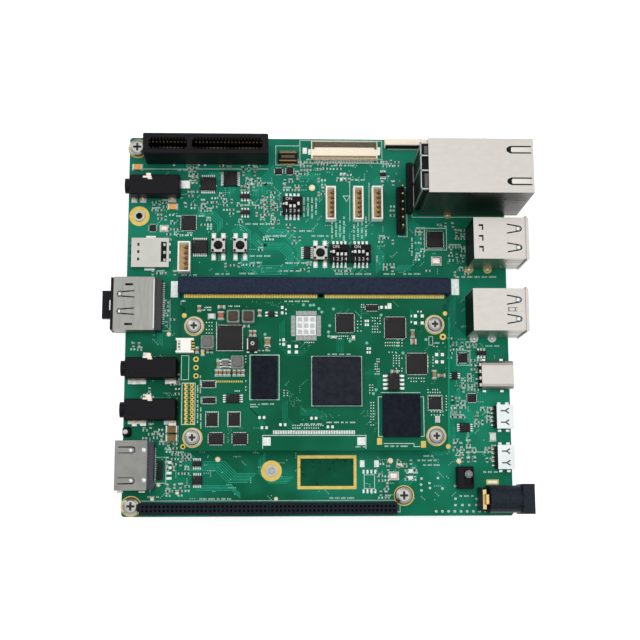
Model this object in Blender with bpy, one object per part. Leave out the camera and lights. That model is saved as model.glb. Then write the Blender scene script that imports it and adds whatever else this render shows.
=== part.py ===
# Computer-on-module kit: a small processor module seated in an edge connector
# and screwed down on a square carrier board with its ports, headers, switches
# and legs.  X runs to the USB side, Y to the PCIe side, Z up out of the board.
# Sizes are written about the middle of the carrier's underside; at the end the
# kit is moved so that the origin is on the table, under its middle.
import bpy
import bmesh
import math
from mathutils import Vector

for old in list(bpy.data.objects):
    bpy.data.objects.remove(old, do_unlink=True)

MM = 0.001

# The module, and the carrier that reaches past it on every side.
MODULE_W = 82.0
MODULE_D = 50.0
MODULE_T = 1.2
WEST_FIELD = 17.83          # carrier beyond the module: audio, display and card side
EAST_FIELD = 20.17          # network, USB and power side
SOUTH_FIELD = 19.7          # long headers
NORTH_FIELD = 50.3          # card slot, small headers and switches
BOARD_W = WEST_FIELD + MODULE_W + EAST_FIELD
BOARD_D = SOUTH_FIELD + MODULE_D + NORTH_FIELD
BOARD_T = 1.6
SEAT = 0.15                 # clearance left where one piece rests on another
SINK = 0.25                 # how far soldered parts reach into the board
ROOT = 1.0                  # how far a joined shape reaches into its body
PAST = 1.0                  # how far a cutter reaches past the face it opens
MOULD_EDGE = 0.3            # chamfer round the top of moulded parts
SPRING_SLOT = 0.4           # slot that frees a spring tongue in a shell
BOARD_HOLE = 3.3            # holes for the corner screws
EAST, NORTH, TOP = BOARD_W / 2, BOARD_D / 2, BOARD_T
WEST, SOUTH = -EAST, -NORTH

MODULE_LIFT = 5.0           # carrier face to module underside
MODULE_HOLE = 2.8
MOD_BOT = TOP + MODULE_LIFT
MOD_TOP = MOD_BOT + MODULE_T
MOD_WEST, MOD_EAST = WEST + WEST_FIELD, EAST - EAST_FIELD
MOD_SOUTH = SOUTH + SOUTH_FIELD
MODULE_NORTH = NORTH - NORTH_FIELD      # edge with the gold fingers
MODULE_X, MODULE_Y = (MOD_WEST + MOD_EAST) / 2, (MOD_SOUTH + MODULE_NORTH) / 2
SPACER_R = 2.3
SPACER_BORE = 2.6
SPACER_BORE_DEPTH = 3.6

# Screws and legs.
MODULE_SCREW_R = 1.15
MODULE_HEAD_R = 2.3
MODULE_HEAD_H = 1.4
MODULE_SCREW_REACH = 2.8    # shank below the module
CARRIER_SCREW_R = 1.45
CARRIER_HEAD_R = 2.8
CARRIER_HEAD_H = 1.9
CARRIER_SCREW_REACH = 4.5   # shank below the carrier
MODULE_FLANGE_R = 2.75      # collar under the head
MODULE_FLANGE_T = 0.35
RECESS_SHARE = 0.46         # cross recess against the head's radius
RECESS_W = 0.7
LEG_FLATS = 5.5
LEG_L = 10.0
LEG_BORE = 3.3
LEG_BORE_DEPTH = 6.0


# Layout grids: small parts are placed in steps from the middle of their board.
CARRIER_STEPS = 120
MODULE_STEPS_X, MODULE_STEPS_Y = 82, 50


def on_carrier(x, y):
    return x * BOARD_W / CARRIER_STEPS, y * BOARD_D / CARRIER_STEPS


def on_module(x, y):
    return MODULE_X + x * MODULE_W / MODULE_STEPS_X, MODULE_Y + y * MODULE_D / MODULE_STEPS_Y


def look(name, rgb, rough=0.5, metal=0.0):
    m = bpy.data.materials.get(name)
    if m is None:
        m = bpy.data.materials.new(name)
        m.use_nodes = True
        b = m.node_tree.nodes['Principled BSDF']
        b.inputs['Base Color'].default_value = (*rgb, 1.0)
        b.inputs['Roughness'].default_value = rough
        b.inputs['Metallic'].default_value = metal
    return m


GREEN = look('solder_mask_green', (0.03, 0.25, 0.10), 0.35)
BLACK = look('black_plastic', (0.02, 0.02, 0.022), 0.5)
NAVY = look('navy_plastic', (0.02, 0.03, 0.09), 0.5)
CREAM = look('cream_plastic', (0.62, 0.55, 0.40), 0.5)
WHITE = look('white_plastic', (0.8, 0.8, 0.78), 0.45)
GREY = look('grey_plastic', (0.25, 0.25, 0.26), 0.5)
EPOXY = look('chip_epoxy', (0.03, 0.03, 0.035), 0.4)
NICKEL = look('nickel_plated', (0.62, 0.61, 0.58), 0.3, 1.0)
STEEL = look('zinc_steel', (0.7, 0.7, 0.72), 0.25, 1.0)
BRASS = look('brass', (0.75, 0.58, 0.28), 0.3, 1.0)


# Shapes, in millimetres.
def block(x0, x1, y0, y1, z0, z1):
    bm = bmesh.new()
    bmesh.ops.create_cube(bm, size=1.0)
    bmesh.ops.scale(bm, vec=(x1 - x0, y1 - y0, z1 - z0), verts=bm.verts)
    bmesh.ops.translate(bm, vec=((x0 + x1) / 2, (y0 + y1) / 2, (z0 + z1) / 2), verts=bm.verts)
    return bm


def pad(cx, cy, w, d, z0, z1):
    return block(cx - w / 2, cx + w / 2, cy - d / 2, cy + d / 2, z0, z1)


def moulded(cx, cy, w, d, z0, z1, edge):
    """A block whose four upright edges and top edge are chamfered."""
    bm = pad(cx, cy, w, d, z0, z1)
    picked = [e for e in bm.edges if max(v.co.z for v in e.verts) > z1 - 1e-4]
    bmesh.ops.bevel(bm, geom=picked, offset=edge, segments=1, affect='EDGES')
    return bm


def extruded(outline, axis, a, b):
    """Prism on a closed outline; the outline lies across the axis."""
    place = {'X': lambda p, t: (t, p[0], p[1]),
             'Y': lambda p, t: (p[0], t, p[1]),
             'Z': lambda p, t: (p[0], p[1], t)}[axis]
    bm = bmesh.new()
    near = [bm.verts.new(place(p, a)) for p in outline]
    far = [bm.verts.new(place(p, b)) for p in outline]
    bm.faces.new(near)
    bm.faces.new(far[::-1])
    for i in range(len(outline)):
        j = (i + 1) % len(outline)
        bm.faces.new((near[i], far[i], far[j], near[j]))
    return bm


def turned(profile, centre, axis='Z', steps=24, ring=False):
    """Turns (radius, height) points about an axis; a ring closes on itself."""
    place = {'Z': lambda r, c, s, h: (centre[0] + r * c, centre[1] + r * s, centre[2] + h),
             'X': lambda r, c, s, h: (centre[0] + h, centre[1] + r * c, centre[2] + r * s)}[axis]
    bm = bmesh.new()
    rings = []
    for r, h in profile:
        if r < 1e-6:
            rings.append([bm.verts.new(place(0.0, 1.0, 0.0, h))])
        else:
            rings.append([bm.verts.new(place(r, math.cos(2 * math.pi * k / steps),
                                             math.sin(2 * math.pi * k / steps), h))
                          for k in range(steps)])
    pairs = list(zip(rings, rings[1:]))
    if ring:
        pairs.append((rings[-1], rings[0]))
    for lo, hi in pairs:
        for k in range(steps):
            j = (k + 1) % steps
            if len(lo) == 1:
                bm.faces.new((lo[0], hi[j], hi[k]))
            elif len(hi) == 1:
                bm.faces.new((lo[k], lo[j], hi[0]))
            else:
                bm.faces.new((lo[k], lo[j], hi[j], hi[k]))
    return bm


def rod(x, y, z0, z1, r, steps=24):
    return turned([(0, z0), (r, z0), (r, z1), (0, z1)], (x, y, 0), 'Z', steps)


def rod_x(y, z, x0, x1, r, steps=24):
    return turned([(0, x0), (r, x0), (r, x1), (0, x1)], (0, y, z), 'X', steps)


def stadium(cy, cz, w, h, turn=6):
    """Outline with two half-round ends, across X."""
    r = h / 2
    pts = []
    for side, start in ((1, -math.pi / 2), (-1, math.pi / 2)):
        for k in range(turn + 1):
            a = start + math.pi * k / turn
            pts.append((cy + side * (w / 2 - r) + r * math.cos(a), cz + r * math.sin(a)))
    return pts


def u_cut(a0, a1, mid, width, root='a1', taper=0.0):
    """Round-ended U that frees a spring tongue whose root is at one end."""
    wide = width / 2
    narrow = wide * (1 - taper)
    inside = narrow - SPRING_SLOT
    long = a1 - a0
    turn = [math.pi * (k / 6 - 0.5) for k in range(7)]
    outer = [(long - narrow * (1 - math.cos(t)), narrow * math.sin(t)) for t in turn]
    inner = [(long - SPRING_SLOT - inside * (1 - math.cos(t)), -inside * math.sin(t)) for t in turn]
    path = [(0, -wide)] + outer + [(0, wide), (0, wide - SPRING_SLOT)] + inner + [(0, SPRING_SLOT - wide)]
    return [(a1 - u if root == 'a1' else a0 + u, mid + v) for u, v in path]


def stored(shapes, name, origin):
    """Joins bmesh shapes into one mesh, scaled to metres about the origin."""
    whole = bmesh.new()
    for bm in shapes:
        bmesh.ops.recalc_face_normals(bm, faces=bm.faces)
        me = bpy.data.meshes.new('piece')
        bm.to_mesh(me)
        bm.free()
        whole.from_mesh(me)
        bpy.data.meshes.remove(me)
    bmesh.ops.translate(whole, vec=[-c for c in origin], verts=whole.verts)
    bmesh.ops.scale(whole, vec=(MM, MM, MM), verts=whole.verts)
    me = bpy.data.meshes.new(name)
    whole.to_mesh(me)
    whole.free()
    return me


def solid(name, material, body, joined=(), cuts=(), added=(), origin=(0, 0, 0), smooth=False):
    """One piece: body, then what is joined, cut away and added afterwards."""
    ob = bpy.data.objects.new(name, stored([body], name, origin))
    ob.location = [c * MM for c in origin]
    bpy.context.collection.objects.link(ob)
    for tag, shapes, how in (('join', joined, 'UNION'), ('cut', cuts, 'DIFFERENCE'), ('add', added, 'UNION')):
        if not shapes:
            continue
        tool = bpy.data.objects.new(name + '_' + tag, stored(list(shapes), name + '_' + tag, origin))
        tool.location = ob.location
        tool.hide_render = True
        tool.display_type = 'WIRE'
        bpy.context.collection.objects.link(tool)
        mod = ob.modifiers.new(tag, 'BOOLEAN')
        mod.operation = how
        mod.solver = 'EXACT'
        mod.use_self = True
        mod.object = tool
    ob.data.materials.append(material)
    if smooth:
        ob.data.shade_smooth()
        ob.data.set_sharp_from_angle(angle=math.radians(35))
    return ob


# Where the screws stand: in from the carrier's edges, the fourth one past the
# end of the long headers; the module's own four in its steps.
STRIP_WEST = 5.9            # carrier edge to the first long header
STRIP_PITCH, STRIP_WAYS, STRIP_W, STRIP_H = 1.27, 30, 3.6, 4.5
STRIP_END, STRIP_HOLE, STRIP_DEPTH = 0.4, 0.6, 3.0
STRIP_L = STRIP_WAYS * STRIP_PITCH + 2 * STRIP_END
STRIP_EAST = WEST + STRIP_WEST + 2 * STRIP_L + SEAT
NORTH_WEST_IN, NORTH_EAST_IN, SOUTH_WEST_IN = (2.6, 3.6), (3.0, 3.6), (3.0, 3.2)
STRIP_SCREW_GAP, STRIP_SCREW_IN = 2.35, 6.2
CARRIER_SCREWS = [(WEST + NORTH_WEST_IN[0], NORTH - NORTH_WEST_IN[1]),
                  (EAST - NORTH_EAST_IN[0], NORTH - NORTH_EAST_IN[1]),
                  (WEST + SOUTH_WEST_IN[0], SOUTH + SOUTH_WEST_IN[1]),
                  (STRIP_EAST + STRIP_SCREW_GAP, SOUTH + STRIP_SCREW_IN)]
MODULE_SCREWS = [on_module(-37.05, 13.1), on_module(37.15, 13.7), on_module(-37.1, -21.1), on_module(37.0, -20.7)]

# Push buttons: grey cases soldered to the carrier, black plungers.
BUTTON_CASE, BUTTON_GAP = 4.6, 2.3
BUTTON_1 = on_carrier(-31.35, 24.3)
BUTTONS = [BUTTON_1, (BUTTON_1[0] + BUTTON_CASE + BUTTON_GAP, BUTTON_1[1]), on_carrier(0.85, 22.0)]
BUTTON_CASE_H = 2.5
PLUNGER_R = 1.22
PLUNGER_RISE = 1.1
PLUNGER_DEPTH = 1.3
PLUNGER_TRAVEL = 0.25
PLUNGER_CLEAR = 0.15
PLUNGER_EDGE = 0.2

# Wire headers: white shrouds open at the top.
WIRE_HEADERS = [(4.2, 37.95, 3.2, 10.85), (12.95, 38.0, 3.2, 10.85), (19.0, 38.1, 3.4, 10.85),
                (-41.95, 20.35, 3.9, 9.7)]
WIRE_HEADER_H = 3.9
WIRE_HEADER_WALL = 0.6
WIRE_HEADER_FLOOR = 1.0

# Small chips on the carrier: middle, width, depth, height.
CARRIER_CHIPS = [(-34.85, 44.7, 5.0, 4.4, 1.0), (-27.75, 46.45, 4.4, 5.0, 1.0), (-37.2, 24.1, 5.0, 4.4, 1.0),
                 (-40.9, 31.95, 4.7, 4.7, 0.9), (-52.2, 30.25, 2.2, 2.2, 0.6), (-48.6, 30.1, 2.5, 2.0, 0.7),
                 (-12.4, 49.1, 2.4, 2.0, 0.6), (-8.8, 49.3, 2.4, 2.4, 0.6), (-23.1, 40.7, 2.9, 1.5, 1.0),
                 (-23.0, 35.4, 2.9, 1.5, 1.0), (21.15, 48.2, 2.0, 1.3, 0.9), (-3.3, 22.4, 2.2, 4.0, 0.8),
                 (37.5, 26.85, 5.2, 5.2, 0.9), (37.8, 19.9, 3.0, 2.6, 0.8), (45.5, -11.2, 3.0, 3.0, 0.9),
                 (51.35, -9.7, 2.9, 1.5, 1.0), (42.7, -16.8, 2.0, 2.4, 0.9), (48.0, -23.8, 2.8, 2.6, 0.9),
                 (45.6, -33.0, 3.2, 2.8, 1.0), (54.0, -36.0, 2.4, 2.0, 0.8), (-44.9, -33.5, 3.6, 2.3, 1.8),
                 (-44.9, -36.2, 3.6, 2.1, 1.8), (-37.2, -44.0, 2.8, 1.8, 1.0),
                 (-37.1, -49.0, 3.0, 2.8, 1.0), (23.25, -47.8, 2.9, 2.3, 0.6)]

# The row along the north edge: card slot, camera, display and panel connectors,
# each a gap east of the last and with its axis in from the edge.
PCIE_WEST, PCIE_IN = 5.4, 5.35
PCIE_L, PCIE_W, PCIE_H = 39.0, 6.8, 11.25
PCIE_X, PCIE_Y = WEST + PCIE_WEST + PCIE_L / 2, NORTH - PCIE_IN
CAMERA_GAP, CAMERA_IN, CAMERA_W, CAMERA_D, CAMERA_H = 3.1, 6.45, 6.2, 4.6, 2.0
CAMERA_X = PCIE_X + PCIE_L / 2 + CAMERA_GAP + CAMERA_W / 2
LVDS_GAP, LVDS_IN, LVDS_W, LVDS_D, LVDS_H = 4.35, 4.3, 21.2, 5.6, 2.5
LVDS_X, LVDS_Y = CAMERA_X + CAMERA_W / 2 + LVDS_GAP + LVDS_W / 2, NORTH - LVDS_IN
PANEL_GAP, PANEL_IN, PANEL_W, PANEL_D, PANEL_H = 2.5, 1.7, 13.5, 2.6, 2.3
PANEL_X = LVDS_X + LVDS_W / 2 + PANEL_GAP + PANEL_W / 2

# The west edge from the south: media port with a filter strip behind it, an
# amber lamp, then two of the three audio jacks.
HDMI_IN, HDMI_W = 15.4, 15.0
FILTER_IN, FILTER_W, FILTER_D, FILTER_H = 11.5, 1.6, 5.6, 0.8
LAMP_IN, LAMP_GAP, LAMP_W, LAMP_D, LAMP_H = 1.2, 1.4, 2.7, 3.0, 2.0
AUDIO_W, AUDIO_GAP, AUDIO_PITCH = 6.5, 1.85, 12.75
HDMI_Y = SOUTH + HDMI_IN
LAMP_Y = HDMI_Y + HDMI_W / 2 + LAMP_GAP + LAMP_D / 2
AUDIO_3_Y = LAMP_Y + LAMP_D / 2 + AUDIO_GAP + AUDIO_W / 2
AUDIO_Y = [on_carrier(0, 43.2)[1], AUDIO_3_Y + AUDIO_PITCH, AUDIO_3_Y]
STANDING = [(CAMERA_X, NORTH - CAMERA_IN, CAMERA_W, CAMERA_D, CAMERA_H),
            (PANEL_X, NORTH - PANEL_IN, PANEL_W, PANEL_D, PANEL_H),
            (WEST + FILTER_IN, on_carrier(0, -46.0)[1], FILTER_W, FILTER_D, FILTER_H),
            (WEST + LAMP_IN, LAMP_Y, LAMP_W, LAMP_D, LAMP_H)]

joined, cuts = [], []
for x, y in BUTTONS:
    joined.append(moulded(x, y, BUTTON_CASE, BUTTON_CASE, TOP - SINK, TOP + BUTTON_CASE_H, MOULD_EDGE))
    cuts.append(rod(x, y, TOP + BUTTON_CASE_H - PLUNGER_DEPTH - PLUNGER_TRAVEL - PLUNGER_CLEAR,
                    TOP + BUTTON_CASE_H + PAST, PLUNGER_R + PLUNGER_CLEAR, 20))
for gx, gy, w, d in WIRE_HEADERS:
    x, y = on_carrier(gx, gy)
    joined.append(pad(x, y, w, d, TOP - SINK, TOP + WIRE_HEADER_H))
    cuts.append(pad(x, y, w - 2 * WIRE_HEADER_WALL, d - 2 * WIRE_HEADER_WALL,
                    TOP + WIRE_HEADER_FLOOR, TOP + WIRE_HEADER_H + PAST))
for x, y, w, d, h in [(*on_carrier(gx, gy), w, d, h) for gx, gy, w, d, h in CARRIER_CHIPS] + STANDING:
    joined.append(pad(x, y, w, d, TOP - SINK, TOP + h))
for x, y in MODULE_SCREWS:
    joined.append(rod(x, y, TOP - SINK, MOD_BOT - SEAT, SPACER_R, 20))
    cuts.append(rod(x, y, MOD_BOT - SEAT - SPACER_BORE_DEPTH, MOD_BOT + PAST, SPACER_BORE / 2, 20))
for x, y in CARRIER_SCREWS:
    cuts.append(rod(x, y, -PAST, TOP + PAST, BOARD_HOLE / 2, 20))
solid('carrier_board', GREEN, block(WEST, EAST, SOUTH, NORTH, 0, TOP), joined, cuts)

for i, (x, y) in enumerate(BUTTONS):
    base = TOP + BUTTON_CASE_H
    solid('reset_button_%d' % (i + 1), BLACK,
          turned([(0, -PLUNGER_DEPTH), (PLUNGER_R, -PLUNGER_DEPTH), (PLUNGER_R, PLUNGER_RISE - PLUNGER_EDGE),
                  (PLUNGER_R - PLUNGER_EDGE, PLUNGER_RISE), (0, PLUNGER_RISE)], (x, y, base), 'Z', 20),
          origin=(x, y, base), smooth=True)

# Module board: keyed finger edge, a half-round notch at each end, its chips.
FINGER_KEY_X = on_module(1.96, 0)[0]
FINGER_KEY_W = 1.5
FINGER_KEY_DEPTH = 2.8
EDGE_NOTCH_R = 1.2
WEST_NOTCH_IN, EAST_NOTCH_IN = 6.9, 6.1         # back from the finger edge
MODULE_CHIPS = [(-25.08, 15.95, 4.0, 4.1, 2.4), (-20.43, 15.95, 4.0, 4.1, 2.4), (-32.88, 8.0, 4.0, 4.1, 2.4),
                (-23.68, 1.8, 4.0, 4.1, 2.4), (-26.13, 9.45, 7.7, 7.7, 0.9),
                (-27.33, 1.4, 2.1, 2.7, 1.0), (-32.43, -4.85, 4.0, 1.9, 0.8), (-32.23, -9.8, 4.0, 1.8, 0.8),
                (-24.98, -9.2, 4.2, 2.6, 1.0), (-31.28, -15.55, 3.5, 4.1, 0.9), (-24.53, -15.5, 3.5, 4.1, 0.9),
                (-29.98, -21.4, 4.5, 3.5, 0.9), (-22.78, -21.4, 4.5, 3.5, 0.9), (9.37, 14.15, 5.6, 5.8, 0.9),
                (17.77, 18.9, 4.0, 1.8, 0.8), (24.87, 12.65, 6.4, 6.6, 0.9), (31.42, 1.45, 6.4, 6.4, 0.9),
                (36.77, -10.6, 4.0, 4.0, 0.9), (37.47, -15.6, 1.2, 1.7, 0.8),
                (-13.03, 16.9, 2.6, 1.5, 0.9)]
PROCESSOR_AT, PROCESSOR_SIDE, PROCESSOR_H, PROCESSOR_EDGE = on_module(6.72, -3.9), 15.0, 1.3, 0.25
MEMORY_AT, MEMORY_W, MEMORY_D, MEMORY_H = on_module(-15.38, -2.85), 7.5, 13.3, 1.0
STORAGE_AT, STORAGE_W, STORAGE_D, STORAGE_H = on_module(26.42, -14.45), 11.5, 13.0, 1.0
CHIP_EDGE = 0.12
COIL_W, COIL_D, COIL_H, COIL_WEST, COIL_GAP = 3.6, 4.2, 1.6, 3.9, 1.4            # north-west of the memory
POWER_W, POWER_D, POWER_H, POWER_WEST, POWER_GAP = 3.6, 5.2, 1.6, 2.25, 1.15     # north-west of the storage
BESIDE = [(MEMORY_AT[0] - COIL_WEST, MEMORY_AT[1] + (MEMORY_D + COIL_D) / 2 + COIL_GAP, COIL_W, COIL_D, COIL_H),
          (STORAGE_AT[0] - POWER_WEST, STORAGE_AT[1] + (STORAGE_D + POWER_D) / 2 + POWER_GAP,
           POWER_W, POWER_D, POWER_H)]
PLUG_OVER, PLUG_W, PLUG_D, PLUG_H = 1.53, 5.6, 4.5, 2.0       # wire plug, past the west edge
WIRE_PLUG = (MOD_WEST - PLUG_OVER + PLUG_W / 2, on_module(0, 6.95)[1], PLUG_W, PLUG_D, PLUG_H)
joined = [pad(x, y, w, d, MOD_TOP - SINK, MOD_TOP + h) for x, y, w, d, h in
          [(*on_module(gx, gy), w, d, h) for gx, gy, w, d, h in MODULE_CHIPS] + BESIDE + [WIRE_PLUG]]
through = (MOD_BOT - PAST, MOD_TOP + PAST)
cuts = [rod(x, y, *through, MODULE_HOLE / 2, 20) for x, y in MODULE_SCREWS]
cuts += [rod(MOD_WEST, MODULE_NORTH - WEST_NOTCH_IN, *through, EDGE_NOTCH_R, 20),
         rod(MOD_EAST, MODULE_NORTH - EAST_NOTCH_IN, *through, EDGE_NOTCH_R, 20),
         block(FINGER_KEY_X - FINGER_KEY_W / 2, FINGER_KEY_X + FINGER_KEY_W / 2,
               MODULE_NORTH - FINGER_KEY_DEPTH, MODULE_NORTH + PAST, *through)]
solid('module_board', GREEN, block(MOD_WEST, MOD_EAST, MOD_SOUTH, MODULE_NORTH, MOD_BOT, MOD_TOP), joined, cuts)


def package(name, at, w, d, h, edge):
    """A ball-grid chip standing on the module."""
    solid(name, EPOXY, moulded(*at, w, d, MOD_TOP + SEAT, MOD_TOP + SEAT + h, edge))


package('processor', PROCESSOR_AT, PROCESSOR_SIDE, PROCESSOR_SIDE, PROCESSOR_H, PROCESSOR_EDGE)
package('memory_chip', MEMORY_AT, MEMORY_W, MEMORY_D, MEMORY_H, CHIP_EDGE)
package('storage_chip', STORAGE_AT, STORAGE_W, STORAGE_D, STORAGE_H, CHIP_EDGE)

# Edge connector that holds the module's finger edge.
CONN_END = 1.15             # wall beyond the module at each end
CONN_GRIP = 1.9             # how far the module's edge goes in
CONN_D, CONN_H = 5.2, 7.8
CONN_CLEAR = 0.15
CONN_SOUTH = MODULE_NORTH - CONN_GRIP
mouth = (CONN_SOUTH - PAST, MODULE_NORTH + CONN_CLEAR, MOD_BOT - CONN_CLEAR, MOD_TOP + CONN_CLEAR)
solid('module_connector', NAVY,
      moulded(MODULE_X, CONN_SOUTH + CONN_D / 2, MODULE_W + 2 * CONN_END, CONN_D,
              TOP + SEAT, TOP + CONN_H, MOULD_EDGE),
      cuts=[block(MOD_WEST - CONN_CLEAR, FINGER_KEY_X - FINGER_KEY_W / 2 + CONN_CLEAR, *mouth),
            block(FINGER_KEY_X + FINGER_KEY_W / 2 - CONN_CLEAR, MOD_EAST + CONN_CLEAR, *mouth)])


POINT_SHARE, POINT_H = 0.8, 0.3         # blunt point of a shank


def cross_screw(name, x, y, seat, shank_r, head_r, head_h, length, collar=()):
    """Pan head with a tapering cross recess, head down at the seat."""
    r, h = head_r, head_h
    profile = [(0, -length), (shank_r * POINT_SHARE, -length), (shank_r, -length + POINT_H), (shank_r, 0)]
    profile += list(collar or [(r, 0)])
    profile += [(r, h * 0.45), (r * 0.9, h * 0.78), (r * 0.62, h * 0.96), (0, h)]
    reach = r * RECESS_SHARE
    low, deep = h * 0.7, h * 0.25
    taper = [(-reach, h + PAST), (reach, h + PAST), (reach, low),
             (reach / 3, deep), (-reach / 3, deep), (-reach, low)]
    arms = [extruded([(x + a, seat + b) for a, b in taper], 'Y', y - RECESS_W / 2, y + RECESS_W / 2),
            extruded([(y + a, seat + b) for a, b in taper], 'X', x - RECESS_W / 2, x + RECESS_W / 2)]
    solid(name, STEEL, turned(profile, (x, y, seat), 'Z', 20), cuts=arms, smooth=True)


MODULE_COLLAR = [(MODULE_FLANGE_R, 0), (MODULE_FLANGE_R, MODULE_FLANGE_T),
                 (MODULE_HEAD_R, MODULE_FLANGE_T + 0.1)]
for i, (x, y) in enumerate(MODULE_SCREWS):
    cross_screw('module_screw_%d' % (i + 1), x, y, MOD_TOP + SEAT, MODULE_SCREW_R, MODULE_HEAD_R,
                MODULE_HEAD_H, SEAT + MODULE_T + MODULE_SCREW_REACH, MODULE_COLLAR)
for i, (x, y) in enumerate(CARRIER_SCREWS):
    cross_screw('carrier_screw_%d' % (i + 1), x, y, TOP + SEAT, CARRIER_SCREW_R, CARRIER_HEAD_R,
                CARRIER_HEAD_H, SEAT + BOARD_T + CARRIER_SCREW_REACH)
    corner = LEG_FLATS / math.sqrt(3)
    hexagon = [(x + corner * math.cos(math.pi * k / 3), y + corner * math.sin(math.pi * k / 3)) for k in range(6)]
    solid('leg_%d' % (i + 1), BRASS, extruded(hexagon, 'Z', -SEAT - LEG_L, -SEAT),
          cuts=[rod(x, y, -SEAT - LEG_BORE_DEPTH, PAST, LEG_BORE / 2, 20)])

# Stacked network jack: a folded shell round a black housing with two mouths.
ETH_L, ETH_W, ETH_H = 31.6, 16.75, 27.0
ETH_Y = on_carrier(0, 43.3)[1]
ETH_OVER = 4.0              # past the board's edge
ETH_WALL = 0.4
ETH_PORT_W, ETH_PORT_H, ETH_PORT_DEPTH = 11.9, 7.6, 13.5
ETH_PORT_Z = (8.2, 19.7)
LATCH_W, LATCH_H, LATCH_DEPTH = 6.2, 2.2, 6.0
LATCH_SIDES = (-1, 1)       # latch slot below the lower mouth and above the upper one
ETH_SPRING_IN, ETH_SPRING_L, ETH_SPRING_W, ETH_SPRING_Y = 0.7, 7.2, 2.4, 4.9
ETH_SIDE_SPRING_W = 3.0
LAMP_WINDOW_W, LAMP_WINDOW_H, LAMP_WINDOW_Z, LAMP_PITCH = 3.6, 5.4, 21.7, 4.6
x1 = EAST + ETH_OVER
x0 = x1 - ETH_L
y0, y1 = ETH_Y - ETH_W / 2, ETH_Y + ETH_W / 2
z1 = TOP + ETH_H
w = ETH_WALL
g = w + SEAT
front = x1 - g
tongue = (x1 - ETH_SPRING_IN - ETH_SPRING_L, x1 - ETH_SPRING_IN)
cuts = [block(x0 + w, x1 - w, y0 + w, y1 - w, TOP - PAST, z1 - w)]
wells = []
for z, side in zip(ETH_PORT_Z, LATCH_SIDES):
    zc = TOP + z
    port = (zc - ETH_PORT_H / 2, zc + ETH_PORT_H / 2)
    latch = sorted((zc, zc + side * (ETH_PORT_H / 2 + LATCH_H)))
    cuts += [pad(x1, ETH_Y, 4 * w, ETH_PORT_W, *port),
             pad(x1, ETH_Y, 4 * w, LATCH_W, *latch),
             extruded(u_cut(*tongue, zc, ETH_SIDE_SPRING_W), 'Y', y0 - PAST, y0 + 2 * w)]
    wells += [block(front - ETH_PORT_DEPTH, x1, ETH_Y - ETH_PORT_W / 2, ETH_Y + ETH_PORT_W / 2, *port),
              block(front - LATCH_DEPTH, x1, ETH_Y - LATCH_W / 2, ETH_Y + LATCH_W / 2, *latch)]
for y in (ETH_Y - ETH_SPRING_Y, ETH_Y + ETH_SPRING_Y):
    cuts.append(extruded(u_cut(*tongue, y, ETH_SPRING_W), 'Z', z1 - 2 * w, z1 + PAST))
for k in (-1, 0, 1):
    cuts.append(pad(x0, ETH_Y + k * LAMP_PITCH, 4 * w, LAMP_WINDOW_W,
                    TOP + LAMP_WINDOW_Z - LAMP_WINDOW_H / 2, TOP + LAMP_WINDOW_Z + LAMP_WINDOW_H / 2))
solid('ethernet_shell', NICKEL, block(x0, x1, y0, y1, TOP + SEAT, z1), cuts=cuts)
solid('ethernet_housing', BLACK, block(x0 + g, front, y0 + g, y1 - g, TOP + SEAT, z1 - g), cuts=wells)

# Stacked USB sockets: a shell with a sprung collar, and a body with two tongues.
USB_L, USB_W, USB_H = 17.0, 12.95, 15.6
USB_WALL = 0.35
USB2_OVER, USB3_OVER = 4.3, 3.6         # past the board's edge
USB_PORT_W, USB_PORT_H, USB_PORT_DEPTH = 12.0, 5.0, 10.5
USB_PORT_Z = (4.1, 11.6)
TONGUE_W, TONGUE_T, TONGUE_IN = 11.1, 1.9, 1.2
COLLAR_IN, COLLAR_T, COLLAR_RISE, COLLAR_FOOT = 0.6, 0.4, 0.45, 1.2
USB_SPRING_IN, USB_SPRING_L, USB_SPRING_W, USB_SPRING_Y, USB_SPRING_TAPER = 2.1, 4.6, 3.2, 2.95, 0.4
USB_SIDE_SPRING_IN, USB_SIDE_SPRING_L, USB_SIDE_SPRING_W = 1.5, 5.5, 2.6
TAB_WINDOW_IN, TAB_WINDOW_L, TAB_WINDOW_W, TAB_PITCH = 1.6, 1.4, 1.8, 3.4
USB2_Y, USB3_Y, USBC_Y, MUSB1_Y = (on_carrier(0, y)[1] for y in (23.8, 1.65, -16.75, -29.75))


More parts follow.
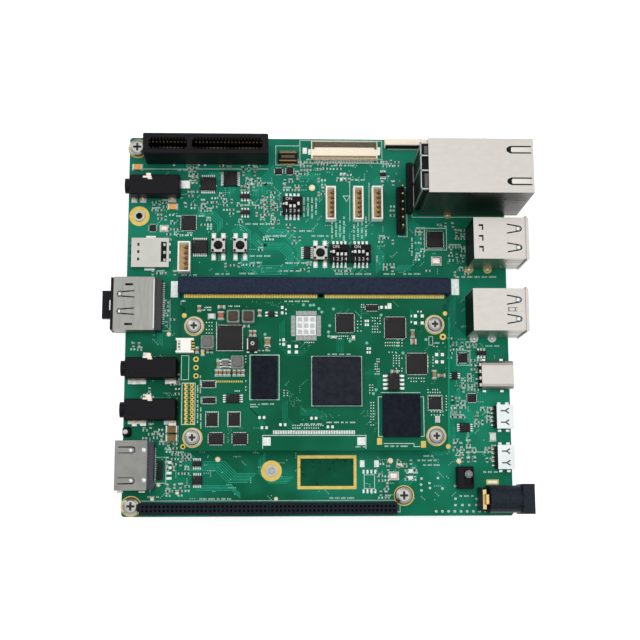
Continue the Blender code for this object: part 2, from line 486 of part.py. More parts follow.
def usb_stack(name, cy, over, tongue_look):
    x1 = EAST + over
    x0 = x1 - USB_L
    w = USB_WALL
    y0, y1 = cy - USB_W / 2, cy + USB_W / 2
    z1 = TOP + USB_H
    side = (x1 - USB_SIDE_SPRING_IN - USB_SIDE_SPRING_L, x1 - USB_SIDE_SPRING_IN)
    top = (x1 - USB_SPRING_IN - USB_SPRING_L, x1 - USB_SPRING_IN)
    cuts = [block(x0 - PAST, x1 - w, y0 + w, y1 - w, TOP - PAST, z1 - w)]
    for z in USB_PORT_Z:
        cuts.append(pad(x1, cy, 4 * w, USB_PORT_W, TOP + z - USB_PORT_H / 2, TOP + z + USB_PORT_H / 2))
        cuts.append(extruded(u_cut(*side, TOP + z, USB_SIDE_SPRING_W), 'Y', y0 - PAST, y0 + 2 * w))
    for y in (cy - USB_SPRING_Y, cy + USB_SPRING_Y):
        cuts.append(extruded(u_cut(*top, y, USB_SPRING_W, 'a0', USB_SPRING_TAPER), 'Z', z1 - 2 * w, z1 + PAST))
    for y in (cy - TAB_PITCH, cy, cy + TAB_PITCH):
        cuts.append(block(x0 + TAB_WINDOW_IN, x0 + TAB_WINDOW_IN + TAB_WINDOW_L,
                          y - TAB_WINDOW_W / 2, y + TAB_WINDOW_W / 2, z1 - 2 * w, z1 + PAST))
    collar = block(x1 - COLLAR_IN - COLLAR_T, x1 - COLLAR_IN, y0 - COLLAR_RISE, y1 + COLLAR_RISE,
                   TOP + COLLAR_FOOT, z1 + COLLAR_RISE)
    solid(name + '_shell', NICKEL, block(x0, x1, y0, y1, TOP + SEAT, z1), [collar], cuts)
    g = w + SEAT
    front = x1 - g
    back = front - USB_PORT_DEPTH
    body = block(x0 + SEAT, back, y0 + g, y1 - g, TOP + SEAT, z1 - g)
    inner = [block(back - ROOT, front - TONGUE_IN, cy - TONGUE_W / 2, cy + TONGUE_W / 2,
                   TOP + z - TONGUE_T / 2, TOP + z + TONGUE_T / 2) for z in USB_PORT_Z]
    inner.append(block(back - ROOT, front, y0 + g, y1 - g,
                       TOP + USB_PORT_Z[0] + USB_PORT_H / 2 + SEAT, TOP + USB_PORT_Z[1] - USB_PORT_H / 2 - SEAT))
    solid(name + '_housing', tongue_look, body, inner)


usb_stack('usb2', USB2_Y, USB2_OVER, BLACK)
usb_stack('usb3', USB3_Y, USB3_OVER, look('blue_plastic', (0.01, 0.12, 0.35), 0.45))

# Small ports on the east edge: drawn shells, each with a contact tongue inside.
USBC_L, USBC_W, USBC_H, USBC_OVER, USBC_DEPTH = 9.9, 8.9, 3.1, 0.8, 6.5
USBC_TONGUE_W, USBC_TONGUE_T, USBC_TONGUE_IN = 6.6, 0.7, 1.2
PORT_WALL = 0.3
x1 = EAST + USBC_OVER
zc = TOP + SEAT + USBC_H / 2
solid('usb_c_port', NICKEL, extruded(stadium(USBC_Y, zc, USBC_W, USBC_H), 'X', x1 - USBC_L, x1),
      cuts=[extruded(stadium(USBC_Y, zc, USBC_W - 2 * PORT_WALL, USBC_H - 2 * PORT_WALL),
                     'X', x1 - USBC_DEPTH, x1 + PAST)],
      added=[block(x1 - USBC_DEPTH - ROOT, x1 - USBC_TONGUE_IN, USBC_Y - USBC_TONGUE_W / 2,
                   USBC_Y + USBC_TONGUE_W / 2, zc - USBC_TONGUE_T / 2, zc + USBC_TONGUE_T / 2)], smooth=True)

MUSB_L, MUSB_W, MUSB_H, MUSB_OVER, MUSB_DEPTH = 5.2, 7.4, 2.45, 0.5, 4.4
MUSB2_IN = 17.8             # second port, in from the south edge
MUSB_CORNER_W, MUSB_CORNER_H = 1.0, 0.9         # the two slanted lower corners
MUSB_TONGUE_W, MUSB_TONGUE_T, MUSB_TONGUE_IN, MUSB_TONGUE_DOWN = 3.8, 0.45, 0.8, 0.6
FORK_Y = 1.78               # forked slots either side of the middle
FORK = [(1.2, -0.22), (2.6, -0.22), (3.65, -0.95), (3.9, -0.6), (3.05, 0.0),
        (3.9, 0.6), (3.65, 0.95), (2.6, 0.22), (1.2, 0.22)]


def micro_usb(name, cy):
    x1 = EAST + MUSB_OVER
    x0 = x1 - MUSB_L
    z0, z1 = TOP + SEAT, TOP + SEAT + MUSB_H

    def face(inset):
        hw = MUSB_W / 2 - inset
        lo, hi = z0 + inset, z1 - inset
        return [(cy - hw + MUSB_CORNER_W, lo), (cy + hw - MUSB_CORNER_W, lo), (cy + hw, lo + MUSB_CORNER_H),
                (cy + hw, hi), (cy - hw, hi), (cy - hw, lo + MUSB_CORNER_H)]
    cuts = [extruded(face(PORT_WALL), 'X', x1 - MUSB_DEPTH, x1 + PAST)]
    for y in (cy - FORK_Y, cy + FORK_Y):
        cuts.append(extruded([(x0 + a, y + b) for a, b in FORK], 'Z', z1 - 1.5 * PORT_WALL, z1 + PAST))
    top = z1 - MUSB_TONGUE_DOWN
    solid(name, NICKEL, extruded(face(0), 'X', x0, x1), cuts=cuts,
          added=[block(x0 + PORT_WALL, x1 - MUSB_TONGUE_IN, cy - MUSB_TONGUE_W / 2, cy + MUSB_TONGUE_W / 2,
                       top - MUSB_TONGUE_T, top)])


micro_usb('micro_usb_port_1', MUSB1_Y)
micro_usb('micro_usb_port_2', SOUTH + MUSB2_IN)

# Slide switch for the supply.
PSW_W, PSW_D, PSW_H = 5.2, 6.8, 3.4
PSW_EAST_IN, PSW_SOUTH_IN = 15.0, 11.55
PSW_X, PSW_Y = EAST - PSW_EAST_IN, SOUTH + PSW_SOUTH_IN
PSW_LEVER_W, PSW_LEVER_D, PSW_LEVER_H, PSW_LEVER_EDGE, PSW_TRAVEL = 2.3, 2.3, 1.5, 0.65, 2.0
PSW_LEVER_EAST = 0.9        # lever off the middle of the case
PSW_DEPTH = 1.0
PSW_CLEAR = 0.15
lever_x, lever_y = PSW_X + PSW_LEVER_EAST, PSW_Y + PSW_TRAVEL / 2
solid('power_switch', BLACK, moulded(PSW_X, PSW_Y, PSW_W, PSW_D, TOP + SEAT, TOP + PSW_H, MOULD_EDGE),
      cuts=[pad(lever_x, PSW_Y, PSW_LEVER_W + 2 * PSW_CLEAR, PSW_LEVER_D + PSW_TRAVEL + 2 * PSW_CLEAR,
                TOP + PSW_H - PSW_DEPTH - PSW_CLEAR, TOP + PSW_H + PAST)])
solid('power_switch_lever', GREY,
      moulded(lever_x, lever_y, PSW_LEVER_W, PSW_LEVER_D, TOP + PSW_H - PSW_DEPTH, TOP + PSW_H + PSW_LEVER_H,
              PSW_LEVER_EDGE), origin=(lever_x, lever_y, TOP + PSW_H))

# Barrel power jack: an arched body with a flange in front and a contact plate
# standing behind it.
JACK_BODY_L, JACK_BODY_R, JACK_FLANGE_L, JACK_W, JACK_H = 9.4, 4.1, 3.5, 8.95, 11.0
JACK_IN = 4.95              # axis, in from the south edge
JACK_Y = SOUTH + JACK_IN
JACK_OVER = 4.5
JACK_BORE, JACK_PIN, JACK_DEPTH, JACK_PIN_IN = 6.3, 2.0, 9.5, 1.5
JACK_AXIS = 6.4
JACK_TAIL_L, JACK_TAIL_W, JACK_TAIL_T, JACK_PLATE_T, JACK_PLATE_H = 2.6, 7.0, 0.9, 0.4, 7.6
x1 = EAST + JACK_OVER
flange = x1 - JACK_FLANGE_L
x0 = flange - JACK_BODY_L
tail = x0 - JACK_TAIL_L
zc = TOP + JACK_AXIS
arch = [(JACK_Y - JACK_BODY_R, TOP + SEAT), (JACK_Y + JACK_BODY_R, TOP + SEAT)]
arch += [(JACK_Y + JACK_BODY_R * math.cos(math.pi * k / 12), zc + JACK_BODY_R * math.sin(math.pi * k / 12))
         for k in range(13)]
foot = (JACK_Y - JACK_TAIL_W / 2, JACK_Y + JACK_TAIL_W / 2, TOP + SEAT)
solid('dc_jack', BLACK, extruded(arch, 'X', x0, x1 - ROOT),
      [block(flange, x1, JACK_Y - JACK_W / 2, JACK_Y + JACK_W / 2, TOP + SEAT, TOP + JACK_H),
       block(tail, x0 + ROOT, *foot, TOP + JACK_TAIL_T),
       block(tail, tail + JACK_PLATE_T, *foot, TOP + JACK_PLATE_H)],
      [rod_x(JACK_Y, zc, x1 - JACK_DEPTH, x1 + PAST, JACK_BORE / 2, 24)],
      [rod_x(JACK_Y, zc, x1 - JACK_DEPTH - ROOT, x1 - JACK_PIN_IN, JACK_PIN / 2, 12)])

# Audio jacks on the west edge: a black block with a barrel at its mouth.
AUDIO_L, AUDIO_H, AUDIO_IN = 15.8, 5.0, 0.7
AUDIO_BARREL_R, AUDIO_BARREL_L, AUDIO_BORE, AUDIO_DEPTH = 2.4, 1.4, 3.6, 12.0
x0 = WEST + AUDIO_IN
mouth = x0 - AUDIO_BARREL_L
zc = TOP + SEAT + AUDIO_H / 2
for i, cy in enumerate(AUDIO_Y):
    solid('audio_jack_%d' % (i + 1), BLACK,
          moulded(x0 + AUDIO_L / 2, cy, AUDIO_L, AUDIO_W, TOP + SEAT, TOP + SEAT + AUDIO_H, MOULD_EDGE),
          [rod_x(cy, zc, mouth, x0 + ROOT, AUDIO_BARREL_R, 24)],
          [rod_x(cy, zc, mouth - PAST, mouth + AUDIO_DEPTH, AUDIO_BORE / 2, 16)])

# Display port with one slanted corner, and the soft cap pushed into its mouth.
DP_Y, DP_W, DP_L, DP_H, DP_OVER = on_carrier(0, 4.8)[1], 16.6, 12.5, 6.9, 3.0
SHELL_WALL = 0.35
DP_CORNER, DP_DEPTH = 1.8, 6.5
DP_SPRING_IN, DP_SPRING_L, DP_SPRING_W, DP_SPRING_TAPER, DP_SPRINGS = 1.0, 5.4, 2.4, 0.3, (-2.5, 2.9)
DP_SLOT_IN, DP_SLOT_L, DP_SLOT_W, DP_SLOTS = 3.5, 2.4, 0.7, (-6.5, 5.9)
DP_TAIL_L, DP_TAIL_IN, DP_TAIL_DOWN = 2.0, 0.2, 1.2
DP_TONGUE_W, DP_TONGUE_T, DP_TONGUE_IN = 12.6, 1.2, 1.6
x0 = WEST - DP_OVER
x1 = x0 + DP_L
z0, z1 = TOP + SEAT, TOP + SEAT + DP_H
zc = (z0 + z1) / 2
lid = (z1 - 2 * SHELL_WALL, z1 + PAST)


def dp_face(shrink):
    hw, hh = DP_W / 2 - shrink, DP_H / 2 - shrink
    return [(DP_Y - hw, zc - hh), (DP_Y + hw - DP_CORNER, zc - hh), (DP_Y + hw, zc - hh + DP_CORNER),
            (DP_Y + hw, zc + hh), (DP_Y - hw, zc + hh)]


cuts = [extruded(dp_face(SHELL_WALL), 'X', x0 - PAST, x0 + DP_DEPTH)]
for y in DP_SPRINGS:
    spring = u_cut(x0 + DP_SPRING_IN, x0 + DP_SPRING_IN + DP_SPRING_L, DP_Y + y,
                   DP_SPRING_W, 'a1', DP_SPRING_TAPER)
    cuts.append(extruded(spring, 'Z', *lid))
for y in DP_SLOTS:
    cuts.append(pad(x0 + DP_SLOT_IN + DP_SLOT_L / 2, DP_Y + y, DP_SLOT_L, DP_SLOT_W, *lid))
solid('displayport_shell', NICKEL, extruded(dp_face(0), 'X', x0, x1),
      [block(x1 - ROOT, x1 + DP_TAIL_L, DP_Y - DP_W / 2 + DP_TAIL_IN, DP_Y + DP_W / 2 - DP_TAIL_IN,
             TOP + SEAT, z1 - DP_TAIL_DOWN)], cuts,
      [block(x0 + DP_TONGUE_IN, x0 + DP_DEPTH + ROOT, DP_Y - DP_TONGUE_W / 2, DP_Y + DP_TONGUE_W / 2,
             zc - DP_TONGUE_T / 2, zc + DP_TONGUE_T / 2)])

CAP_CLEAR, CAP_PLUG_L, CAP_RIM_T, CAP_RIM_SHRINK = 0.2, 4.0, 0.7, 0.15
GRIP_L, GRIP_W, GRIP_NECK_L, GRIP_NECK_W, GRIP_T = 2.0, 8.7, 1.2, 3.4, 2.0
rim = x0 - CAP_CLEAR - CAP_RIM_T
inner = rim + ROOT / 3
neck = inner - GRIP_NECK_L
hw, nw = GRIP_W / 2, GRIP_NECK_W / 2
grip = [(inner, -hw), (inner, -nw), (neck, -nw), (neck, nw), (inner, nw), (inner, hw),
        (neck - GRIP_L, hw), (neck - GRIP_L, -hw)]
solid('displayport_dust_cap', BLACK,
      extruded(dp_face(SHELL_WALL + CAP_CLEAR), 'X', x0 - CAP_CLEAR, x0 + CAP_PLUG_L),
      [extruded(dp_face(CAP_RIM_SHRINK), 'X', rim, x0 - CAP_CLEAR),
       extruded([(x, DP_Y + y) for x, y in grip], 'Z', zc - GRIP_T / 2, zc + GRIP_T / 2)],
      [pad(x0 + DP_TONGUE_IN - CAP_CLEAR + CAP_PLUG_L / 2, DP_Y, CAP_PLUG_L, DP_TONGUE_W + 2 * CAP_CLEAR,
           zc - DP_TONGUE_T / 2 - CAP_CLEAR, zc + DP_TONGUE_T / 2 + CAP_CLEAR)])

# Media port: a shell that narrows in two steps towards the board.
HDMI_L, HDMI_H, HDMI_OVER, HDMI_DEPTH = 9.7, 5.6, 1.6, 7.5
HDMI_STEP_W, HDMI_FOOT_IN, HDMI_LOW, HDMI_HIGH = 1.5, 1.9, 1.3, 1.7
HDMI_SPRING_IN, HDMI_SPRING_L, HDMI_SPRING_W, HDMI_SPRING_Y = 1.0, 5.3, 2.2, 4.6
HDMI_TAIL_L, HDMI_TAIL_IN, HDMI_TAIL_DOWN = 1.9, 0.3, 1.0
HDMI_TONGUE_W, HDMI_TONGUE_T, HDMI_TONGUE_IN, HDMI_TONGUE_UP = 10.4, 1.0, 1.4, 0.1
x0 = WEST - HDMI_OVER
x1 = x0 + HDMI_L
z0, z1 = TOP + SEAT, TOP + SEAT + HDMI_H
tongue_z = (z0 + z1) / 2 + HDMI_TONGUE_UP


def hdmi_face(shrink):
    hw, lo, hi = HDMI_W / 2 - shrink, z0 + shrink, z1 - shrink
    east = [(hw - HDMI_FOOT_IN, lo), (hw - HDMI_STEP_W, lo + HDMI_LOW), (hw, lo + HDMI_HIGH), (hw, hi)]
    return [(HDMI_Y + a, b) for a, b in east] + [(HDMI_Y - a, b) for a, b in reversed(east)]


cuts = [extruded(hdmi_face(SHELL_WALL), 'X', x0 - PAST, x0 + HDMI_DEPTH)]
for y in (HDMI_Y - HDMI_SPRING_Y, HDMI_Y + HDMI_SPRING_Y):
    spring = u_cut(x0 + HDMI_SPRING_IN, x0 + HDMI_SPRING_IN + HDMI_SPRING_L, y, HDMI_SPRING_W, 'a0')
    cuts.append(extruded(spring, 'Z', z1 - 2 * SHELL_WALL, z1 + PAST))
solid('hdmi_port', NICKEL, extruded(hdmi_face(0), 'X', x0, x1),
      [block(x1 - ROOT, x1 + HDMI_TAIL_L, HDMI_Y - HDMI_W / 2 + HDMI_TAIL_IN,
             HDMI_Y + HDMI_W / 2 - HDMI_TAIL_IN, TOP + SEAT, z1 - HDMI_TAIL_DOWN)], cuts,
      [block(x0 + HDMI_TONGUE_IN, x0 + HDMI_DEPTH + ROOT / 2, HDMI_Y - HDMI_TONGUE_W / 2,
             HDMI_Y + HDMI_TONGUE_W / 2, tongue_z, tongue_z + HDMI_TONGUE_T)])

# Card reader: a flat cover over a card slot, with a window to the contacts and
# three short slots.
SIM_IN, SIM_W, SIM_D, SIM_H = 7.3, 11.8, 9.4, 1.35
SIM_X, SIM_Y = WEST + SIM_IN, on_carrier(0, 22.05)[1]
CARD_WALL, CARD_T, CARD_UP, CARD_END = 0.5, 0.7, 0.35, 1.2
SIM_WINDOW_X, SIM_WINDOW_W, SIM_WINDOW_D, SIM_WINDOW_UP = 4.25, 1.8, 6.5, 0.2
SIM_SLOT_X, SIM_SLOT_W, SIM_SLOT_D, SIM_SLOT_PITCH = -3.7, 0.7, 0.95, 2.35
cover = SIM_Y + SIM_WINDOW_UP
cuts = [block(SIM_X - SIM_W / 2 - PAST, SIM_X + SIM_W / 2 - CARD_END, SIM_Y - SIM_D / 2 + CARD_WALL,
              SIM_Y + SIM_D / 2 - CARD_WALL, TOP + SEAT + CARD_UP, TOP + SEAT + CARD_UP + CARD_T),
        pad(SIM_X + SIM_WINDOW_X, cover, SIM_WINDOW_W, SIM_WINDOW_D, TOP, TOP + SIM_H + PAST)]
cuts += [pad(SIM_X + SIM_SLOT_X, cover + SIM_SLOT_PITCH * k, SIM_SLOT_W, SIM_SLOT_D,
             TOP + SEAT + CARD_UP + CARD_T / 2, TOP + SIM_H + PAST) for k in (-1, 0, 1)]
solid('sim_socket', NICKEL, pad(SIM_X, SIM_Y, SIM_W, SIM_D, TOP + SEAT, TOP + SEAT + SIM_H), cuts=cuts)

# Card slot: a long moulding, keyed, with a notch for every contact.
PCIE_KEY, PCIE_KEY_W = 14.5, 1.5        # slot's west end to the middle of the key
PCIE_SLOT_W, PCIE_SLOT_DEPTH, PCIE_END, PCIE_PITCH = 2.4, 8.3, 1.8, 1.0
NOTCH_W, NOTCH_D, NOTCH_OUT, NOTCH_DEPTH, NOTCH_MARGIN = 0.55, 0.9, 0.3, 5.0, 0.3
key = PCIE_X - PCIE_L / 2 + PCIE_KEY
open_top = TOP + PCIE_H + PAST
cuts = []
for a, b in ((PCIE_X - PCIE_L / 2 + PCIE_END, key - PCIE_KEY_W / 2),
             (key + PCIE_KEY_W / 2, PCIE_X + PCIE_L / 2 - PCIE_END)):
    cuts.append(block(a, b, PCIE_Y - PCIE_SLOT_W / 2, PCIE_Y + PCIE_SLOT_W / 2,
                      TOP + PCIE_H - PCIE_SLOT_DEPTH, open_top))
    ways = int((b - a - 2 * NOTCH_MARGIN) / PCIE_PITCH)
    for k in range(ways):
        x = (a + b) / 2 + (k - (ways - 1) / 2) * PCIE_PITCH
        for side in (-1, 1):
            cuts.append(pad(x, PCIE_Y + side * (PCIE_SLOT_W / 2 + NOTCH_OUT), NOTCH_W, NOTCH_D,
                            TOP + PCIE_H - NOTCH_DEPTH, open_top))
solid('pcie_slot', BLACK,
      moulded(PCIE_X, PCIE_Y, PCIE_L, PCIE_W, TOP + SEAT, TOP + PCIE_H, MOULD_EDGE), cuts=cuts)

# Display connector: a cream shroud, open along its back, notched for its leads.
LVDS_WAYS, LVDS_PITCH, LVDS_WALL, LVDS_FLOOR = 20, 1.0, 0.5, 0.9
LVDS_WELL = (0.9, 2.55)     # back half, from the middle
LEAD_NOTCH_W, LEAD_NOTCH_D, LEAD_NOTCH_LOW, LEAD_NOTCH_DOWN = 0.5, 1.0, 0.6, 0.5
cuts = [block(LVDS_X - LVDS_W / 2 + LVDS_WALL, LVDS_X + LVDS_W / 2 - LVDS_WALL, LVDS_Y + LVDS_WELL[0],
              LVDS_Y + LVDS_WELL[1], TOP + LVDS_FLOOR, TOP + LVDS_H + PAST)]
for k in range(LVDS_WAYS):
    x = LVDS_X + (k - (LVDS_WAYS - 1) / 2) * LVDS_PITCH
    cuts.append(pad(x, LVDS_Y - LVDS_D / 2, LEAD_NOTCH_W, LEAD_NOTCH_D, TOP + LEAD_NOTCH_LOW,
                    TOP + LVDS_H - LEAD_NOTCH_DOWN))
solid('display_connector', CREAM, pad(LVDS_X, LVDS_Y, LVDS_W, LVDS_D, TOP + SEAT, TOP + LVDS_H), cuts=cuts)

# Debug header: six square pins standing in a black strip.
PIN_X, PIN_Y = on_carrier(26.5, 35.95)
PIN_PITCH, PIN_WAYS = 2.54, 6
PIN_BASE_H, PIN_TIP, PIN_THICK = 2.5, 8.5, 0.64
solid('debug_header', BLACK,
      moulded(PIN_X, PIN_Y, PIN_PITCH, PIN_PITCH * PIN_WAYS, TOP + SEAT, TOP + PIN_BASE_H, MOULD_EDGE),
      [pad(PIN_X, PIN_Y + (k - (PIN_WAYS - 1) / 2) * PIN_PITCH, PIN_THICK, PIN_THICK, TOP + ROOT, TOP + PIN_TIP)
       for k in range(PIN_WAYS)])

# Long headers along the south edge: two strips with two rows of square holes.
STRIP_IN = 2.4
STRIP_Y = SOUTH + STRIP_IN
for i in range(2):
    cx = WEST + STRIP_WEST + STRIP_L / 2 + i * (STRIP_L + SEAT)
    holes = [pad(cx + (k - (STRIP_WAYS - 1) / 2) * STRIP_PITCH, STRIP_Y + row * STRIP_PITCH / 2,
                 STRIP_HOLE, STRIP_HOLE, TOP + STRIP_H - STRIP_DEPTH, TOP + STRIP_H + PAST)
             for k in range(STRIP_WAYS) for row in (-1, 1)]
    solid('expansion_header_%d' % (i + 1), BLACK,
          pad(cx, STRIP_Y, STRIP_L, STRIP_W, TOP + SEAT, TOP + STRIP_H), cuts=holes)

# Slide-switch blocks: case, gull-wing leads and four sliders each.
DIP_W, DIP_D, DIP_H = 6.2, 5.6, 2.5
BUTTON_TO_DIP, DIP_TO_DIP = 0.7, 0.6    # gaps in the row that starts with the third button
dip_x = BUTTONS[2][0] + BUTTON_CASE / 2 + BUTTON_TO_DIP + DIP_W / 2
dip_y = on_carrier(0, 21.9)[1]
DIPS = [(*on_carrier(-7.95, 37.45), (1, 0, 0, 1)), (dip_x, dip_y, (1, 0, 0, 0)),
        (dip_x + DIP_W + DIP_TO_DIP, dip_y, (1, 1, 1, 0))]
DIP_PITCH = 1.27
DIP_KNOB_W, DIP_KNOB_D, DIP_TRAVEL = 0.7, 0.9, 0.8
DIP_WELL = 0.8
DIP_RISE = 0.35
DIP_CLEAR = 0.12
LEAD_W, LEAD_T, LEAD_UP, LEAD_KNEE, LEAD_REACH, LEAD_ROOT = 0.45, 0.2, 1.3, 0.45, 1.2, 0.3
GULL_WING = [(-LEAD_ROOT, LEAD_UP), (-LEAD_ROOT, LEAD_UP - LEAD_T), (LEAD_KNEE, LEAD_UP - LEAD_T),
             (LEAD_KNEE, SEAT), (LEAD_REACH, SEAT), (LEAD_REACH, SEAT + LEAD_T),
             (LEAD_KNEE + LEAD_T, SEAT + LEAD_T), (LEAD_KNEE + LEAD_T, LEAD_UP)]
for i, (cx, cy, states) in enumerate(DIPS):
    columns = [cx + (k - 1.5) * DIP_PITCH for k in range(4)]
    wells = [pad(x, cy, DIP_KNOB_W + 2 * DIP_CLEAR, DIP_KNOB_D + DIP_TRAVEL + 2 * DIP_CLEAR,
                 TOP + DIP_H - DIP_WELL - DIP_CLEAR, TOP + DIP_H + PAST) for x in columns]
    leads = [extruded([(cy + side * (DIP_D / 2 + a), TOP + b) for a, b in GULL_WING], 'X',
                      x - LEAD_W / 2, x + LEAD_W / 2) for x in columns for side in (-1, 1)]
    solid('dip_switch_%d' % (i + 1), BLACK, pad(cx, cy, DIP_W, DIP_D, TOP + SEAT, TOP + DIP_H), leads, wells)
    for k, x in enumerate(columns):
        y = cy + (0.5 if states[k] else -0.5) * DIP_TRAVEL
        solid('dip_slider_%d_%d' % (i + 1, k + 1), WHITE,
              pad(x, y, DIP_KNOB_W, DIP_KNOB_D, TOP + DIP_H - DIP_WELL, TOP + DIP_H + DIP_RISE),
              origin=(x, y, TOP + DIP_H))

# The kit's frame: origin on the table, under the middle of the outline.
bpy.context.view_layer.update()
now = bpy.context.evaluated_depsgraph_get()
corners = [ob.matrix_world @ Vector(c) for ob in bpy.data.objects if not ob.hide_render
           for c in ob.evaluated_get(now).bound_box]
lowest = [min(c[k] for c in corners) for k in range(3)]
highest = [max(c[k] for c in corners) for k in range(3)]
shift = [-round((lowest[0] + highest[0]) / 2, 5), -round((lowest[1] + highest[1]) / 2, 5), -round(lowest[2], 5)]
for ob in bpy.data.objects:
    ob.location = [ob.location[k] + shift[k] for k in range(3)]
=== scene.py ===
# Computer-on-module kit: the looks of the module, its carrier board and every
# part soldered or screwed to them.  Sizes are in millimetres unless a line says
# otherwise; X runs to the USB side, Y to the card slot, Z up out of the board.
import math
import random

import bmesh
import bpy
from mathutils import Euler, Matrix, Vector


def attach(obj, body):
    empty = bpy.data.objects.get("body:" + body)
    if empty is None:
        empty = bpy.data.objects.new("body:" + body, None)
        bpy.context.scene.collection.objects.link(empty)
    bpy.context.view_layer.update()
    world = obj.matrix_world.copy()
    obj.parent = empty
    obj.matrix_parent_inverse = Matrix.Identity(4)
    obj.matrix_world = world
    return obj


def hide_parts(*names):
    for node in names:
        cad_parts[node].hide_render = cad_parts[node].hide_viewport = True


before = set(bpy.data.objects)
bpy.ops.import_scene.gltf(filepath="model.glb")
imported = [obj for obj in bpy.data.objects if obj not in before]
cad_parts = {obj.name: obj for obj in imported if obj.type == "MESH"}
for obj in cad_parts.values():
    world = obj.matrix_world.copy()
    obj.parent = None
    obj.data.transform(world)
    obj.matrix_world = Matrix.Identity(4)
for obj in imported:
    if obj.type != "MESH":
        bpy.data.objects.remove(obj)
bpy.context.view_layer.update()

# Every size below is written about the middle of the carrier's underside, which
# is at AT in the frame.
MM = 0.001
AT = Vector((1.15, 0.0, 10.15))
PICTURE = 640
CAMERA_AT = Vector((-12.11, -58.43, 357.46))
CAMERA_TURN = Euler((math.radians(9.457), math.radians(-2.026), math.radians(-0.225)))
LENS, SENSOR = 64.6, 36.0
FOCUS = LENS / SENSOR * PICTURE

camera = bpy.data.objects.new("camera", bpy.data.cameras.new("camera"))
camera.location = (CAMERA_AT + AT) * MM
camera.rotation_euler = CAMERA_TURN
camera.data.lens = LENS
camera.data.clip_start = 0.01
bpy.context.scene.collection.objects.link(camera)
bpy.context.scene.camera = camera


def spot(px, py, z):
    ray = CAMERA_TURN.to_matrix() @ Vector(((px - PICTURE / 2) / FOCUS, (PICTURE / 2 - py) / FOCUS, -1.0))
    at = CAMERA_AT + ray * ((z - CAMERA_AT.z) / ray.z)
    return at.x, at.y


# The light: a wide soft panel overhead and a weaker one from the back left.
# The surround is pale above and dark towards the horizon, so that upright
# metal faces look dark, as on a product table.
SURROUND_LOW, SURROUND_HIGH = 0.08, 0.86
DARK_TO, PALE_FROM = 0.05, 0.62                           # how steep a direction is, 1 straight up
WHITE = (1.0, 1.0, 1.0, 1.0)
scene = bpy.context.scene
scene.view_settings.view_transform = "Standard"
world = bpy.data.worlds.new("surround")
scene.world = world
world.use_nodes = True


def feed(tree, node, sockets):
    """Gives each named socket its value, or the outlet of the node that drives it."""
    for name, value in sockets.items():
        if isinstance(value, bpy.types.NodeSocket):
            tree.links.new(value, node.inputs[name])
        else:
            node.inputs[name].default_value = value
    return node


def added(tree, kind, **sockets):
    """A new node with its sockets fed; an underline in a name stands for a space."""
    named = {name.replace("_", " "): value for name, value in sockets.items()}
    return feed(tree, tree.nodes.new("ShaderNode" + kind), named)


def maths(tree, operation, *terms):
    node = tree.nodes.new("ShaderNodeMath")
    node.operation = operation
    return feed(tree, node, dict(enumerate(terms))).outputs[0]


def blend(tree, factor, colour, other):
    """Goes from one colour to the other with the factor."""
    mix = tree.nodes.new("ShaderNodeMix")
    mix.data_type = "RGBA"
    return feed(tree, mix, {"Factor": factor, "A": colour, "B": other}).outputs["Result"]


sky_tree = world.node_tree
aim = added(sky_tree, "SeparateXYZ", Vector=added(sky_tree, "TexCoord").outputs["Generated"])
rise = added(sky_tree, "MapRange", Value=aim.outputs["Z"], From_Min=DARK_TO, From_Max=PALE_FROM,
             To_Min=SURROUND_LOW, To_Max=SURROUND_HIGH)
feed(sky_tree, sky_tree.nodes["Background"], {"Color": WHITE, "Strength": rise.outputs["Result"]})


def soft_panel(name, at, size, power):
    lamp = bpy.data.lights.new(name, "AREA")
    lamp.shape = "SQUARE"
    lamp.size = size
    lamp.energy = power
    panel = bpy.data.objects.new(name, lamp)
    panel.location = at
    panel.rotation_euler = (-Vector(at)).to_track_quat("-Z", "Y").to_euler()
    scene.collection.objects.link(panel)


soft_panel("panel_overhead", (0.06, 0.10, 0.62), 0.60, 0.98)
soft_panel("panel_back_left", (-0.42, 0.34, 0.42), 0.35, 0.55)

# The table: a plain white sheet under the legs.  The camera, and the metal
# parts, see it a little brighter than the light alone makes it.
TABLE_Z = -0.05
TABLE_HALF = 3.0                                          # metres
TABLE_GLOW = 0.55
PAPER_WHITE = (0.86, 0.86, 0.86, 1.0)
corners = [(TABLE_HALF * x, TABLE_HALF * y, TABLE_Z * MM) for x, y in ((-1, -1), (1, -1), (1, 1), (-1, 1))]
table = bpy.data.objects.new("table", bpy.data.meshes.new("table"))
table.data.from_pydata(corners, [], [(0, 1, 2, 3)])
scene.collection.objects.link(table)
paper = bpy.data.materials.new("table_paper")
paper.use_nodes = True
sheet = paper.node_tree
sheet_shader = feed(sheet, sheet.nodes["Principled BSDF"], {"Base Color": PAPER_WHITE, "Roughness": 0.9})
ray_kind = added(sheet, "LightPath")
seen = maths(sheet, "MAXIMUM", ray_kind.outputs["Is Camera Ray"], ray_kind.outputs["Is Glossy Ray"])
glow = added(sheet, "Emission", Strength=maths(sheet, "MULTIPLY", seen, TABLE_GLOW))
both = feed(sheet, sheet.nodes.new("ShaderNodeAddShader"), {0: sheet_shader.outputs[0], 1: glow.outputs[0]})
feed(sheet, sheet.nodes["Material Output"], {"Surface": both.outputs[0]})
table.data.materials.append(paper)

# The carrier board: 1.6 mm glass-epoxy laminate under green solder mask, with
# copper traces showing through the mask as slightly lighter lines.  Four
# corner holes take the leg screws.
BOARD_HALF = 60.0
BOARD_CORNER = 0.6
TOP = 1.6
FILM = 0.02
SCREW_BORE, SCREW_RING = 1.65, 3.15                       # radii of a hole and of the copper round it
NUT_BORE, NUT_RING = 1.75, 3.2
CARRIER_SCREWS = [(-57.4, 56.4), (57.0, 56.4), (-57.1, -56.8), (26.3, -53.8)]
CARD_NUTS = [(-56.5, 34.1), (-14.4, -46.2)]


